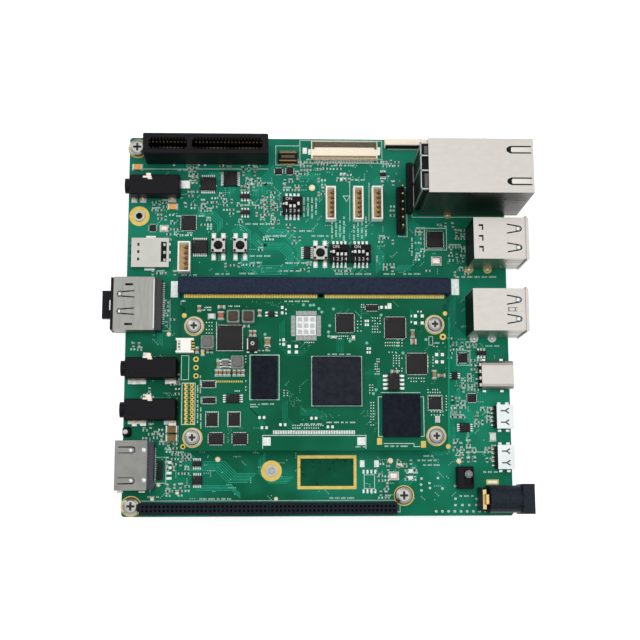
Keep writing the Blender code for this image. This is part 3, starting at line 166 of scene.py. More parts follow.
def finish_of(name, colour, other, rough, metal=0.0, coat=0.0, scale=60.0, detail=4.0,
              bump=0.0, rough_to=None, stretch=(1, 1, 1), shine=0.22):
    """A Principled surface that drifts between two colours, and in gloss, with a noise."""
    mat = bpy.data.materials.new(name)
    mat.use_nodes = True
    tree = mat.node_tree
    place = added(tree, "TexCoord").outputs["Object"]
    turn = added(tree, "Mapping", Vector=place, Scale=[s * scale for s in stretch]).outputs["Vector"]
    cloud = added(tree, "TexNoise", Vector=turn, Scale=10.0, Detail=detail).outputs["Fac"]
    tint = added(tree, "ValToRGB", Fac=cloud)
    first, last = tint.color_ramp.elements
    first.position, first.color = 0.35, (*colour, 1)
    last.position, last.color = 0.68, (*other, 1)
    gloss = added(tree, "MapRange", Value=cloud, To_Min=rough, To_Max=rough_to or rough * 1.3)
    shader = feed(tree, tree.nodes["Principled BSDF"], {
        "Base Color": tint.outputs["Color"], "Roughness": gloss.outputs["Result"], "Metallic": metal,
        "Specular IOR Level": 0.5 if metal else shine, "Coat Weight": coat, "Coat Roughness": 0.12})
    if bump:
        grain = added(tree, "TexNoise", Vector=turn, Scale=45.0, Detail=3.0).outputs["Fac"]
        relief = added(tree, "Bump", Height=grain, Strength=bump, Distance=0.0001)
        feed(tree, shader, {"Normal": relief.outputs["Normal"]})
    return mat


def circle(x, y, r, steps):
    turns = [math.tau * k / steps for k in range(steps)]
    return [(x + r * math.cos(turn), y + r * math.sin(turn)) for turn in turns]


def set_down(name, me):
    me.transform(Matrix.Translation(AT * MM))
    piece = bpy.data.objects.new(name, me)
    scene.collection.objects.link(piece)
    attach(piece, "kit")
    return piece


def slab(name, outline, holes, z0, z1, finish, stands_for):
    """A board with round holes, drawn on its upper face and carried down."""
    bm = bmesh.new()
    rims = []
    for loop in [outline] + [circle(x, y, r, 28) for x, y, r in holes]:
        ring = [bm.verts.new((x * MM, y * MM, z1 * MM)) for x, y in loop]
        rims += [bm.edges.new((ring[i], ring[(i + 1) % len(ring)])) for i in range(len(ring))]
    face = bmesh.ops.triangle_fill(bm, edges=rims, use_beauty=True)
    faces = [g for g in face["geom"] if isinstance(g, bmesh.types.BMFace)]
    drawn = bmesh.ops.extrude_face_region(bm, geom=faces)
    low = [g for g in drawn["geom"] if isinstance(g, bmesh.types.BMVert)]
    bmesh.ops.translate(bm, vec=(0, 0, (z0 - z1) * MM), verts=low)
    bmesh.ops.recalc_face_normals(bm, faces=bm.faces)
    me = bpy.data.meshes.new(name)
    bm.to_mesh(me)
    bm.free()
    me.materials.append(finish)
    board = set_down(name, me)
    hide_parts(stands_for)


def mask_finish(name, deep, bright, lane, north=None):
    """Solder mask: broad drift of the ground colour, fine lanes of copper."""
    mat = finish_of(name, deep, bright, 0.26, scale=3.2, detail=5.0, bump=0.06, rough_to=0.4, shine=0.05)
    tree = mat.node_tree
    shader = tree.nodes["Principled BSDF"]
    ground = shader.inputs["Base Color"].links[0].from_socket
    place = added(tree, "TexCoord").outputs["Object"]
    cells = added(tree, "TexVoronoi", Vector=place, Scale=95.0)
    pick = added(tree, "SeparateColor", Color=cells.outputs["Color"]).outputs["Red"]
    eighths = maths(tree, "ROUND", maths(tree, "MULTIPLY", pick, 4.0))
    turned = tree.nodes.new("ShaderNodeVectorRotate")
    turned.rotation_type = "Z_AXIS"
    feed(tree, turned, {"Vector": place, "Angle": maths(tree, "MULTIPLY", eighths, math.pi / 4)})
    lanes = added(tree, "TexWave", Vector=turned.outputs["Vector"], Scale=620.0, Distortion=0.0)
    where = added(tree, "TexNoise", Vector=place, Scale=55.0)
    gate = added(tree, "ValToRGB", Fac=where.outputs["Fac"])
    for stop, position in zip(gate.color_ramp.elements, (0.48, 0.60)):
        stop.position = position
    amount = maths(tree, "MULTIPLY", lanes.outputs["Fac"], gate.outputs["Color"])
    last = blend(tree, maths(tree, "MULTIPLY", amount, 0.55), ground, (*lane, 1))
    # Towards the north the mask turns paler and bluer.
    if north:
        apart = added(tree, "SeparateXYZ", Vector=place).outputs["Y"]
        fade = added(tree, "MapRange", Value=apart, From_Min=0.005, From_Max=0.04, To_Max=0.35)
        last = blend(tree, fade.outputs["Result"], last, (*north, 1))
    feed(tree, shader, {"Base Color": last})
    return mat


mask_green = mask_finish("mask_green", (0.001, 0.115, 0.052), (0.005, 0.20, 0.112), (0.02, 0.31, 0.19),
                         north=(0.012, 0.18, 0.125))
cut = BOARD_HALF - BOARD_CORNER
rim = [(-cut, -BOARD_HALF), (cut, -BOARD_HALF), (BOARD_HALF, -cut), (BOARD_HALF, cut),
       (cut, BOARD_HALF), (-cut, BOARD_HALF), (-BOARD_HALF, cut), (-BOARD_HALF, -cut)]
carrier_holes = [(*at, SCREW_BORE) for at in CARRIER_SCREWS] + [(*at, NUT_BORE) for at in CARD_NUTS]
slab("carrier_laminate", rim, carrier_holes, 0.0, TOP, mask_green, "carrier_board")

# Bare copper of the carrier: solder-coated and gold pads, gold rings under
# the screws and round the two nuts, and the tinned holes of the power end.
solder = finish_of("solder_coat", (0.50, 0.54, 0.52), (0.68, 0.72, 0.70), 0.34, 0.8, scale=120)
gold = finish_of("gold_plate", (0.44, 0.32, 0.08), (0.53, 0.40, 0.12), 0.3, 1.0, scale=90)
# A near-black finish of painted shade for holes and bores that the light doesn't reach.
hole_shade = finish_of("hole_painted_shade", (0.01, 0.008, 0.006), (0.02, 0.016, 0.01), 0.6, scale=200)
pale_gold = finish_of("pale_gold", (0.56, 0.47, 0.26), (0.66, 0.58, 0.36), 0.34, 0.8, scale=90)


class Lot:
    """Many small pieces gathered into one object, each face with its finish.
    Heights are counted from the level that the lot stands on."""

    def __init__(self, name, slot, level=TOP):
        self.name, self.slot, self.level = name, slot, level
        self.points, self.faces, self.marks, self.finishes, self.smooth = [], [], [], [], []

    def at(self, px, py, up=0.0):
        """The place under a point of the picture, on the lot's level or above it."""
        return spot(px, py, self.level + up)

    def mark(self, finish):
        if finish not in self.finishes:
            self.finishes.append(finish)
        return self.finishes.index(finish)

    def rings(self, rings, finish, smooth=False, close=True):
        """Skins a stack of equal rings, bottom first, and caps both ends."""
        base, n, m = len(self.points), len(rings[0]), self.mark(finish)
        for ring in rings:
            self.points += [(x * MM, y * MM, (z + self.level) * MM) for x, y, z in ring]
        for r in range(len(rings) - 1):
            for k in range(n):
                j = (k + 1) % n
                a = base + r * n
                self.faces.append((a + k, a + j, a + n + j, a + n + k))
                self.marks.append(m)
                self.smooth.append(smooth)
        if close:
            last = base + (len(rings) - 1) * n
            self.faces.append(tuple(base + k for k in range(n - 1, -1, -1)))
            self.faces.append(tuple(last + k for k in range(n)))
            self.marks += [m, m]
            self.smooth += [False, False]

    def span(self, x0, x1, y0, y1, z0, z1, finish, edge=0.0):
        """A box between limits, its upper edges broken where edge is given."""
        def ring(d, z):
            return [(x0 + d, y0 + d, z), (x1 - d, y0 + d, z), (x1 - d, y1 - d, z), (x0 + d, y1 - d, z)]
        stack = [ring(0, z0), ring(0, z1 - edge)]
        if edge:
            stack.append(ring(edge, z1))
        self.rings(stack, finish)

    def box(self, x, y, w, d, z0, z1, finish, edge=0.0):
        """A box w wide and d deep, about a middle."""
        self.span(x - w / 2, x + w / 2, y - d / 2, y + d / 2, z0, z1, finish, edge)

    def bar(self, x, y, near, far, wide, z0, z1, finish, edge=0.0, north=True):
        """A box reaching from near to far, counted northwards from its place, or else eastwards."""
        mid, long = (near + far) / 2, abs(far - near)
        if north:
            self.box(x, y + mid, wide, long, z0, z1, finish, edge)
        else:
            self.box(x + mid, y, long, wide, z0, z1, finish, edge)

    def slope(self, x, y, w, d, z0, z1, finish, edge=0.1, draft=0.05):
        """A moulded body: drafted sides, rounded upright corners."""
        def ring(inset, z):
            a, b, e, f = x - w / 2 + inset, x + w / 2 - inset, y - d / 2 + inset, y + d / 2 - inset
            return [(a + edge, e, z), (b - edge, e, z), (b, e + edge, z), (b, f - edge, z),
                    (b - edge, f, z), (a + edge, f, z), (a, f - edge, z), (a, e + edge, z)]
        self.rings([ring(0, z0), ring(draft, z1 - edge), ring(draft + edge * 0.35, z1 - edge * 0.3),
                    ring(draft + edge, z1)], finish)

    def round(self, x, y, z0, z1, r, finish, steps=20, dome=0.0):
        levels = [(r, z0), (r, z1 - dome)]
        if dome:
            levels += [(r * 0.86, z1 - dome * 0.35), (r * 0.5, z1)]
        self.rings([[(*p, z) for p in circle(x, y, q, steps)] for q, z in levels], finish, smooth=True)

    def washer(self, x, y, z0, z1, r_in, r_out, finish, steps=28):
        levels = [(r_in, z0), (r_out, z0), (r_out, z1), (r_in, z1), (r_in, z0)]
        self.rings([[(*p, z) for p in circle(x, y, q, steps)] for q, z in levels], finish, close=False)

    def pad(self, px, py, w, d, finish, thick=FILM):
        """A thin rectangle about a place of the picture."""
        x, y = self.at(px, py)
        self.box(x, y, w, d, 0, thick, finish)

    def pads(self, rows, finish, thick=FILM):
        for px, py, w, d in rows:
            self.pad(px, py, w, d, finish, thick)

    def grid(self, columns, rows, w, d, finish, thick=FILM):
        """Equal pads at each crossing of the picture's columns and rows."""
        self.pads([(px, py, w, d) for px in columns for py in rows], finish, thick)

    def make(self):
        me = bpy.data.meshes.new(self.name)
        me.from_pydata(self.points, [], self.faces)
        for finish in self.finishes:
            me.materials.append(finish)
        me.polygons.foreach_set("material_index", self.marks)
        me.polygons.foreach_set("use_smooth", self.smooth)
        bm = bmesh.new()
        bm.from_mesh(me)
        bmesh.ops.remove_doubles(bm, verts=bm.verts, dist=1e-8)
        bmesh.ops.recalc_face_normals(bm, faces=bm.faces)
        bm.to_mesh(me)
        bm.free()
        set_down(self.name, me)
        me.set_sharp_from_angle(angle=math.radians(40))


def run(start, pitch, count):
    """Even steps along a line."""
    return [start + pitch * k for k in range(count)]


# From here on a row that starts with a place in the picture, px across and py
# down in pixels, goes on in millimetres: a pad's width and depth, or a radius.
CARRIER_PADS = [
    (134.5, 199.5, 1.8, 2.2), (143.2, 199.3, 2.1, 2.2), (172.2, 199, 2.6, 2.2), (185.7, 184.6, 2.9, 2.7),
    (130.5, 381.5, 1.6, 1.6), (139.6, 381.5, 2.3, 1.6), (169.6, 380.3, 2.8, 2.3), (168.5, 421, 2.8, 2.2),
    (130.5, 421.5, 1.6, 1.6), (139.6, 421.5, 2.3, 1.6), (146.3, 355, 2.0, 1.5), (146.3, 396.5, 2.0, 1.5),
    (304.8, 150.8, 1.4, 2.0), (378.5, 150.6, 1.2, 2.2), (362.2, 463.7, 1.4, 2.1), (376.5, 463.7, 1.4, 2.1),
    (174.4, 289.3, 2.2, 5.2), (455.2, 287, 2.4, 5.2), (410.4, 471, 1.5, 1.2), (410.4, 477.9, 1.5, 1.2),
    (151, 236.8, 3.0, 0.6), (149.5, 269.4, 3.2, 0.6)]
SMALL_RINGS = [
    (168.8, 334.2, 0.7), (158.3, 485, 0.6), (177, 492.7, 0.6), (152, 499.2, 0.6), (217.8, 459.4, 0.8),
    (276, 498.9, 0.6), (390.3, 460.7, 0.85), (399.7, 464.9, 0.85), (459, 461, 0.8), (312, 187.8, 1.0)]
DARK_HOLES = [(265.2, 184.2), (265.2, 245.2)]
GOLD_PEGS = [(469, 269.4, 1.35), (487.4, 269.4, 1.35), (447.3, 215.3, 1.1)]
TINNED_PEGS = [(474, 338.5, 1.35), (492, 338.1, 1.35)]
TINNED_HOLES = [
    (429.5, 483), (438, 478), (421.5, 478.5), (421, 484.5), (421.5, 490.5), (430, 488), (442.5, 488.5),
    (455, 486)]
TINNED_HOLES += [(px, 511.3) for px in run(436.2, 6.2, 9)] + [(px, 505) for px in run(455.5, 6.9, 4)]
TINNED_HOLES += [(455.5, 498.8), (476.5, 498.8)]
# Columns and rows of the picture that pads stand on, with their width and depth.
PAD_GRIDS = [((248.0, 251.7), (179.6, 183.8), 0.7, 0.8), ((341.2, 344.6), (174.2, 179.2), 0.8, 0.9),
             (run(363.6, 3.9, 4), (471.8, 491.2), 0.6, 1.2), ((169,), run(462.5, 5.3, 4), 1.6, 0.8)]
copper = Lot("carrier_pads", "nickel_shell")
for x, y in CARRIER_SCREWS:
    copper.washer(x, y, 0, 0.04, SCREW_BORE, SCREW_RING, gold)
for x, y in CARD_NUTS:
    copper.washer(x, y, 0, 0.05, NUT_BORE, NUT_RING, gold)
copper.pads(CARRIER_PADS, solder)
for block in PAD_GRIDS:
    copper.grid(*block, solder)
for px, py, r in SMALL_RINGS:
    x, y = copper.at(px, py)
    copper.washer(x, y, 0, 0.03, r * 0.45, r, pale_gold)
    copper.round(x, y, 0, 0.025, r * 0.45, solder)
# Two holes in the carrier, drawn as flat dark discs of painted shade.
for px, py in DARK_HOLES:
    copper.round(*copper.at(px, py), 0, 0.015, 0.55, hole_shade)
for pegs, ring_finish in ((GOLD_PEGS, gold), (TINNED_PEGS, solder)):
    for px, py, r in pegs:
        x, y = copper.at(px, py)
        copper.washer(x, y, 0, 0.06, r * 0.55, r, ring_finish)
        copper.round(x, y, 0, 0.35, r * 0.5, solder, dome=0.2)
for px, py in TINNED_HOLES:
    copper.washer(*copper.at(px, py), 0, 0.03, 0.16, 0.36, solder, steps=14)
copper.make()

# The two threaded nuts that hold a small card: bright steel, pressed in.  The
# upper one is open, dark inside with painted shade; the lower one is closed by a grey plug.
nut_steel = finish_of("nut_steel", (0.30, 0.305, 0.30), (0.42, 0.42, 0.41), 0.3, 1.0, scale=120)
plug_grey = finish_of("nut_plug", (0.46, 0.48, 0.46), (0.56, 0.58, 0.56), 0.5, scale=160)
nuts = Lot("card_nuts", "screw_steel", level=0.0)
for (x, y), fill, fill_top in zip(CARD_NUTS, (hole_shade, plug_grey), (0.3, 1.7)):
    nuts.washer(x, y, 0.2, TOP + 0.5, 1.05, NUT_BORE - 0.02, nut_steel)
    nuts.round(x, y, 0.1, fill_top, 1.04, fill)
nuts.make()

# White ink on the carrier: outlines round the parts, pin-one marks and the
# dashes beside the long connectors.  The ink is a hair thick and slightly worn.
ink = finish_of("silk_ink", (0.42, 0.66, 0.58), (0.66, 0.80, 0.74), 0.6, scale=140)


def stroke(lot, points, finish=ink, w=0.2, thick=FILM):
    """A flat line drawn through places of the picture."""
    ends = [Vector(lot.at(px, py)) for px, py in points]
    for k, (a, b) in enumerate(zip(ends, ends[1:])):
        along = (b - a).normalized() * w / 2
        side = Vector((-along.y, along.x))
        ring = [a - along - side, b + along - side, b + along + side, a - along + side]
        lot.rings([[(p.x, p.y, h) for p in ring] for h in (0, thick * (1 + 0.3 * (k % 3)))], finish)


def outline(lot, x0, x1, y0, y1, w=0.2, finish=ink):
    """A printed rectangle between two picture columns and two rows."""
    a, d = lot.at(x0, y0)
    b, c = lot.at(x1, y1)
    seam = 0.01
    for p, q, r, t in [(a, b, d - w, d), (a, b, c, c + w), (a, a + w, c + w + seam, d - w - seam),
                       (b - w, b, c + w + seam, d - w - seam)]:
        lot.span(p, q, r, t, 0, FILM, finish)


TICK_COLUMNS, TICK_TOP, TICK_FOOT = run(181, 14.5, 19), 301, 304.5
PART_OUTLINES = [
    (299.5, 382.3, 140.2, 163.8), (275.5, 300.5, 145.5, 165.5), (384, 428, 140.2, 148.5),
    (397.5, 407.5, 187.5, 237), (137, 400.5, 500.8, 512.2), (153, 166, 457, 483.5), (424, 447, 228, 250.3),
    (456, 470.5, 350, 365.5), (363.8, 375, 474.5, 488.8)]
PRINTED_LINES = [
    [(140, 169), (268, 169)], [(349.8, 183), (349.8, 221)], [(369, 183), (369, 221)],
    [(412, 217.3), (412, 180), (427, 180)], [(412, 217.3), (500, 217.3)], [(472, 336), (512, 336)],
    [(468, 430), (468, 452), (494, 452)], [(170, 300), (170, 331), (158, 331)], [(150, 438), (150, 492)],
    [(343, 196), (350, 196), (346.6, 201.5), (343, 196)],
    [(455.5, 455.5), (462.5, 455.5), (459, 450.5), (455.5, 455.5)], [(278, 196), (281, 193)],
    [(326, 245), (329, 242)], [(348, 245), (351, 242)]]
silk = Lot("carrier_ink", "board_mask")
for area in PART_OUTLINES:
    outline(silk, *area)
for line in PRINTED_LINES:
    stroke(silk, line)
for px in TICK_COLUMNS:
    stroke(silk, [(px, TICK_TOP), (px, TICK_FOOT)], w=0.22)

# A gold frame of bare copper printed as a square ring.  The laminate inside
# it has no copper under its mask, so the green is much deeper there.
bare_green = finish_of("bare_green", (0.001, 0.075, 0.034), (0.002, 0.10, 0.05), 0.3, scale=30, bump=0.06,
                       shine=0.05)
GOLD_FRAME, GOLD_FRAME_W = (297.4, 356.6, 455.4, 489.1), 0.95
INSIDE_FRAME = (327.0, 472.2, 16.4, 8.4)
outline(silk, *GOLD_FRAME, GOLD_FRAME_W, gold)
silk.pad(*INSIDE_FRAME, bare_green)
silk.make()

# Copper under the mask: bundles of traces that turn by 45 degrees, seen as
# paler lines, and plugged via holes seen as pale dots.
trace_green = finish_of("trace_green", (0.015, 0.33, 0.205), (0.03, 0.42, 0.28), 0.3, scale=60, shine=0.05)
via_tin = finish_of("via_tin", (0.20, 0.50, 0.40), (0.42, 0.62, 0.52), 0.35, scale=120)
edge_strip = finish_of("edge_strip_green", (0.003, 0.24, 0.125), (0.006, 0.30, 0.165), 0.3, scale=40,
                       shine=0.05)
TRACE_W, TRACE_PITCH, TRACE_THICK = 0.18, 1.5, 0.006
VIA_R = 0.17
VIA_STEPS = [(2.1, 0.0), (0.0, 2.1), (1.6, 1.6), (1.6, -1.6)]


def bundle(lot, points, count, across, finish=trace_green):
    """Parallel traces through picture places, set side by side along across."""
    for n in range(count):
        shift = (n - (count - 1) / 2) * TRACE_PITCH
        moved = [(px + across[0] * shift, py + across[1] * shift) for px, py in points]
        stroke(lot, moved, finish, TRACE_W, TRACE_THICK)


def vias(lot, x0, x1, y0, y1, count, seed, finish=via_tin):
    """Via holes strewn in short straight runs over a patch of board."""
    luck = random.Random(seed)
    while count > 0:
        px, py = luck.uniform(x0, x1), luck.uniform(y0, y1)
        dx, dy = luck.choice(VIA_STEPS)
        for k in range(luck.randint(1, 4)):
            if x0 <= px + dx * k <= x1 and y0 <= py + dy * k <= y1:
                lot.round(*lot.at(px + dx * k, py + dy * k), 0, FILM, VIA_R, finish, steps=8)
            count -= 1


# Each bundle has its corners, how many traces run in it, and which way they lie.
TRACE_BUNDLES = [
    ([(236, 226), (246, 236), (246, 262), (254, 270), (292, 270)], 7, (1, -1)),
    ([(252, 236), (262, 246), (282, 246), (290, 254), (290, 268)], 5, (1, -1)),
    ([(262, 226), (268, 232), (284, 232), (300, 248), (300, 262)], 4, (1, -1)),
    ([(206, 176), (224, 176), (232, 184), (232, 194)], 5, (1, -1)),
    ([(196, 214), (212, 214), (220, 222), (220, 230)], 4, (1, -1)),
    ([(248, 164), (248, 176), (256, 184), (256, 196)], 4, (1, 0)),
    ([(276, 168), (262, 182), (262, 192)], 4, (1, 1)), ([(340, 226), (340, 240)], 6, (1, 0)),
    ([(361, 226), (361, 240)], 6, (1, 0)), ([(372, 250), (380, 258), (380, 270)], 6, (1, -1)),
    ([(336, 270), (352, 270), (360, 262), (372, 262)], 4, (0, 1)),
    ([(410, 222), (418, 230), (418, 262), (412, 268), (396, 268)], 4, (1, -1)),
    ([(300, 176), (314, 176), (322, 184), (322, 200)], 4, (1, -1)),
    ([(384, 160), (384, 176), (376, 184), (376, 198)], 4, (1, 1)),
    ([(452, 300), (452, 330), (462, 340), (462, 352)], 5, (1, -1)),
    ([(456, 392), (456, 404), (470, 418), (470, 436)], 6, (1, -1)),
    ([(430, 452), (440, 452), (452, 440), (452, 424)], 5, (1, 1)),
    ([(402, 486), (414, 474), (414, 462)], 5, (1, 1)),
    ([(166, 300), (166, 322), (160, 328), (160, 344)], 4, (1, 1)),
    ([(152, 400), (166, 400), (174, 408), (174, 420)], 4, (1, -1)),
    ([(180, 452), (194, 466), (220, 466), (232, 478), (252, 478)], 7, (1, -1)),
    ([(262, 456), (262, 470), (272, 480), (290, 480)], 5, (1, -1)),
    ([(196, 488), (232, 488), (240, 496)], 4, (0, 1)), ([(390, 300), (390, 296)], 3, (1, 0)),
    ([(480, 346), (480, 366), (488, 374), (488, 392)], 4, (1, -1))]
EAST_STRIP = [(452.6, 352), (452.6, 452)]
# Two columns and two rows of the picture, and how many holes lie between them.
VIA_PATCHES = [
    (150, 272, 172, 232, 150), (196, 300, 232, 274, 70), (254, 322, 166, 232, 90), (300, 400, 160, 182, 70),
    (322, 398, 222, 274, 90), (398, 468, 224, 274, 70), (448, 500, 296, 350, 60), (450, 496, 350, 462, 120),
    (404, 460, 452, 500, 50), (148, 176, 296, 350, 30), (150, 178, 352, 440, 50), (176, 300, 450, 500, 90),
    (300, 400, 452, 500, 70), (140, 176, 440, 500, 40)]
lanes = Lot("carrier_traces", "board_mask")
for points, count, across in TRACE_BUNDLES:
    bundle(lanes, points, count, across)
stroke(lanes, EAST_STRIP, edge_strip, 1.5, TRACE_THICK)
for n, patch in enumerate(VIA_PATCHES):
    vias(lanes, *patch, seed=300 + n)
lanes.make()

# Chips on the carrier: black moulded epoxy with matt tops, tin-plated leads
# or edge pads, soldered flat.  Each has a dimple at pin one.
epoxy = finish_of("chip_epoxy", (0.008, 0.008, 0.009), (0.016, 0.016, 0.018), 0.42, scale=260, bump=0.25,
                  rough_to=0.6)
dimple = finish_of("chip_dimple", (0.05, 0.05, 0.052), (0.08, 0.08, 0.08), 0.3, scale=300)
tin = finish_of("tin_lead", (0.50, 0.51, 0.51), (0.66, 0.66, 0.65), 0.28, 1.0, scale=240)
beige = finish_of("crystal_lid", (0.62, 0.58, 0.50), (0.78, 0.74, 0.66), 0.28, 0.6, scale=160)
LEAD_THICK = 0.14
LEAD_SIDES = {"quad": "nsew", "ns": "ns", "ew": "ew", "bare": ""}


def chip(lot, x, y, w, d, h, leads, pitch, reach=0.8):
    """leads: quad for edge pads, ns or ew for two rows of gull wings, bare for none."""
    lot.slope(x, y, w, d, 0.08, h, epoxy, edge=min(0.18, h * 0.2), draft=0.04)
    lot.round(x - w / 2 + min(0.7, w * 0.2), y + d / 2 - min(0.7, d * 0.2), h - 0.01, h + 0.012,
              min(0.26, w * 0.09), dimple, steps=12)
    bend = h * 0.42
    for side in LEAD_SIDES[leads]:
        north = side in "ns"
        along, half = (w, d / 2) if north else (d, w / 2)
        sign = 1 if side in "ne" else -1
        parts = [(half - 0.1, half + 0.22, bend, bend + LEAD_THICK),
                 (half + 0.12, half + 0.26, 0.05, bend + LEAD_THICK),
                 (half + 0.16, half + reach, 0, LEAD_THICK)]
        if leads == "quad":
            parts = [(half - 0.1, half + 0.22, 0, 0.16)]
        count = max(2, int((along - 0.6 + pitch) / pitch))
        for c in run(-(count - 1) / 2 * pitch, pitch, count):
            place = (x + c, y) if north else (x, y + c)
            for near, far, low, high in parts:
                lot.bar(*place, sign * near, sign * far, pitch * 0.54, low, high, tin, north=north)


def can(lot, x, y, w, d, h, body):
    """A flat metal or moulded can with a raised lid and tinned corners."""
    lot.box(x, y, w + 0.24, d + 0.24, 0, 0.12, tin)
    lot.slope(x, y, w, d, 0.1, h * 0.8, body, edge=0.22, draft=0.0)
    lot.slope(x, y, w - 0.5, d - 0.5, h * 0.8, h, body, edge=0.2, draft=0.0)


# Middle, width, depth and height of each, then its leads and their pitch.
CARRIER_PACKAGES = [
    (-34.85, 44.7, 5.0, 4.4, 1.0, "ns", 0.65), (-27.75, 46.45, 4.4, 5.0, 1.0, "ew", 0.65),
    (-37.2, 24.1, 5.0, 4.4, 1.0, "ns", 0.65), (-40.9, 31.95, 4.7, 4.7, 0.9, "quad", 0.5),
    (-52.2, 30.25, 2.2, 2.2, 0.6, "quad", 0.5), (-12.4, 49.1, 2.4, 2.0, 0.6, "quad", 0.5),
    (-8.8, 49.3, 2.4, 2.4, 0.6, "quad", 0.5), (-23.1, 40.7, 2.9, 1.5, 1.0, "ns", 0.95),
    (-23.0, 35.4, 2.9, 1.5, 1.0, "ns", 0.95), (21.15, 48.2, 2.0, 1.3, 0.9, "ns", 0.65),
    (-3.3, 22.4, 2.2, 4.0, 0.8, "ew", 0.65), (37.5, 26.85, 5.2, 5.2, 0.9, "quad", 0.5),
    (45.5, -11.2, 3.0, 3.0, 0.9, "quad", 0.5), (51.35, -9.7, 2.9, 1.5, 1.0, "ns", 0.95),
    (42.7, -16.8, 2.0, 2.4, 0.9, "ew", 0.65), (48.0, -23.8, 2.8, 2.6, 0.9, "quad", 0.5),
    (45.6, -33.0, 3.2, 2.8, 1.0, "ew", 0.65), (-48.5, -46.0, 1.6, 5.6, 0.8, "bare", 0.65),
    (-37.2, -44.0, 2.8, 1.8, 1.0, "ns", 0.65), (-37.1, -49.0, 3.0, 2.8, 1.0, "ns", 0.65)]
CRYSTAL_CANS = [
    (-48.6, 30.1, 2.5, 2.0, 0.7, beige), (37.8, 19.9, 3.0, 2.6, 0.8, beige),
    (23.25, -47.8, 2.9, 2.3, 0.6, beige)]
chips = Lot("carrier_chips", "chip_epoxy")
for package in CARRIER_PACKAGES:
    chip(chips, *package)
for crystal in CRYSTAL_CANS:
    can(chips, *crystal)
chips.make()

# Two-ended chip parts: tan ceramic capacitors, black film resistors and white
# or orange lamps, each a sintered block with tinned ends on its own two pads.
tan = finish_of("capacitor_body", (0.24, 0.15, 0.085), (0.34, 0.23, 0.14), 0.34, scale=260)
resistor = finish_of("resistor_film", (0.012, 0.013, 0.016), (0.03, 0.03, 0.034), 0.3, scale=300)
ceramic = finish_of("ceramic_white", (0.62, 0.62, 0.60), (0.78, 0.78, 0.75), 0.45, scale=240)
amber_case = finish_of("amber_case", (0.20, 0.115, 0.04), (0.28, 0.17, 0.06), 0.42, scale=200)
lamp_amber = finish_of("lamp_amber", (0.72, 0.30, 0.04), (0.85, 0.42, 0.10), 0.24, coat=0.5, scale=260)
end_tin = finish_of("end_cap_tin", (0.30, 0.40, 0.36), (0.50, 0.60, 0.55), 0.3, 0.9, scale=240)
fillet = finish_of("solder_fillet", (0.30, 0.44, 0.38), (0.46, 0.60, 0.54), 0.34, 0.8, scale=200)
LETTER_H, LETTER_GAP = 0.5, 0.16
LETTER_STEP = 0.31                                        # millimetres to a picture pixel
LEAD_ROOM = 1.1                                           # kept free of small parts round a chip
CLUSTER_STEP = 6.2, 4.4                                   # picture pixels
CLUSTER_FILL, WORD_SHARE, UPRIGHT_SHARE = 0.72, 0.45, 0.3
BARE_UP_TO, RESISTOR_UP_TO = 0.16, 0.8                    # bare pads, then resistors, then capacitors


def passive(lot, px, py, long, wide, high, body, upright=False):
    """A block between two tinned ends, each end on a bed of solder."""
    x, y = lot.at(px, py, high / 2)
    end = long * (0.24 if long < 2.0 else 0.15)
    inner = long / 2 - end * 0.8
    lot.bar(x, y, -inner, inner, wide * 0.95, 0.03, high, body, min(0.06, high * 0.2), upright)
    for s in (-1, 1):
        inner, outer = s * (long / 2 - end), s * long / 2
        lot.bar(x, y, inner, outer, wide, 0.02, high * 1.03, end_tin, min(0.07, high * 0.2), upright)
        lot.bar(x, y, inner - s * 0.1, outer + s * 0.22, wide + 0.2, 0, 0.03, fillet, 0.0, upright)


def word(lot, px, py, count, luck, upright=False, high=LETTER_H):
    """Printed marks side by side, each about as wide as a letter."""
    for k in range(count):
        long = luck.uniform(0.2, 0.36)
        if upright:
            lot.pad(px, py, high, long, ink)
            py += (long + LETTER_GAP) / LETTER_STEP
        else:
            lot.pad(px, py, long, high, ink)
            px += (long + LETTER_GAP) / LETTER_STEP


def cluster(lot, marks, x0, x1, y0, y1, seed):
    """A patch of 1.0 by 0.5 mm parts in loose rows, some places left as bare
    pads, and none on the leads of a carrier chip."""
    luck = random.Random(seed)
    nx, ny = max(1, round((x1 - x0) / CLUSTER_STEP[0])), max(1, round((y1 - y0) / CLUSTER_STEP[1]))
    for i in range(nx):
        for j in range(ny):
            if luck.random() > CLUSTER_FILL:
                continue
            px = x0 + (i + 0.5) * (x1 - x0) / nx + luck.uniform(-0.5, 0.5)
            py = y0 + (j + 0.5) * (y1 - y0) / ny + luck.uniform(-0.3, 0.3)
            x, y = lot.at(px, py)
            free = all(abs(x - a) > w / 2 + LEAD_ROOM or abs(y - b) > d / 2 + LEAD_ROOM
                       for a, b, w, d, *other in CARRIER_PACKAGES)
            kind = luck.random()
            upright = kind >= BARE_UP_TO and luck.random() < UPRIGHT_SHARE
            if free and kind < BARE_UP_TO:
                lot.grid((px - 1.6, px + 1.6), (py,), 0.5, 0.6, fillet)
            elif free:
                passive(lot, px, py, 1.05, 0.5, 0.36, resistor if kind < RESISTOR_UP_TO else tan, upright)
            if luck.random() < WORD_SHARE:
                word(marks, px - 1.6, py - 2.3, luck.randint(2, 4), luck)


def dashes(lot, start, end, line, seed, upright=False, high=LETTER_H):
    """A printed line of short words, along a picture row or, upright, a column."""
    luck, at = random.Random(seed), start
    while at < end - 1:
        count = luck.randint(2, 5)
        word(lot, *((line, at) if upright else (at, line)), count, luck, upright, high)
        at += count * 0.44 / LETTER_STEP + 1.6


# Length, width, height and body of each, and whether it stands north to south.
LARGER_PARTS = [
    (137.5, 167, 3.0, 1.9, 0.7, lamp_amber, False), (172.6, 206.6, 3.0, 1.9, 0.7, lamp_amber, False),
    (195, 177, 1.6, 0.8, 0.45, tan, False), (492.8, 437, 2.4, 2.0, 0.8, ceramic, True),
    (171.8, 429.4, 3.6, 2.2, 1.8, amber_case, False), (171.8, 438.1, 3.6, 2.2, 1.8, amber_case, False)]
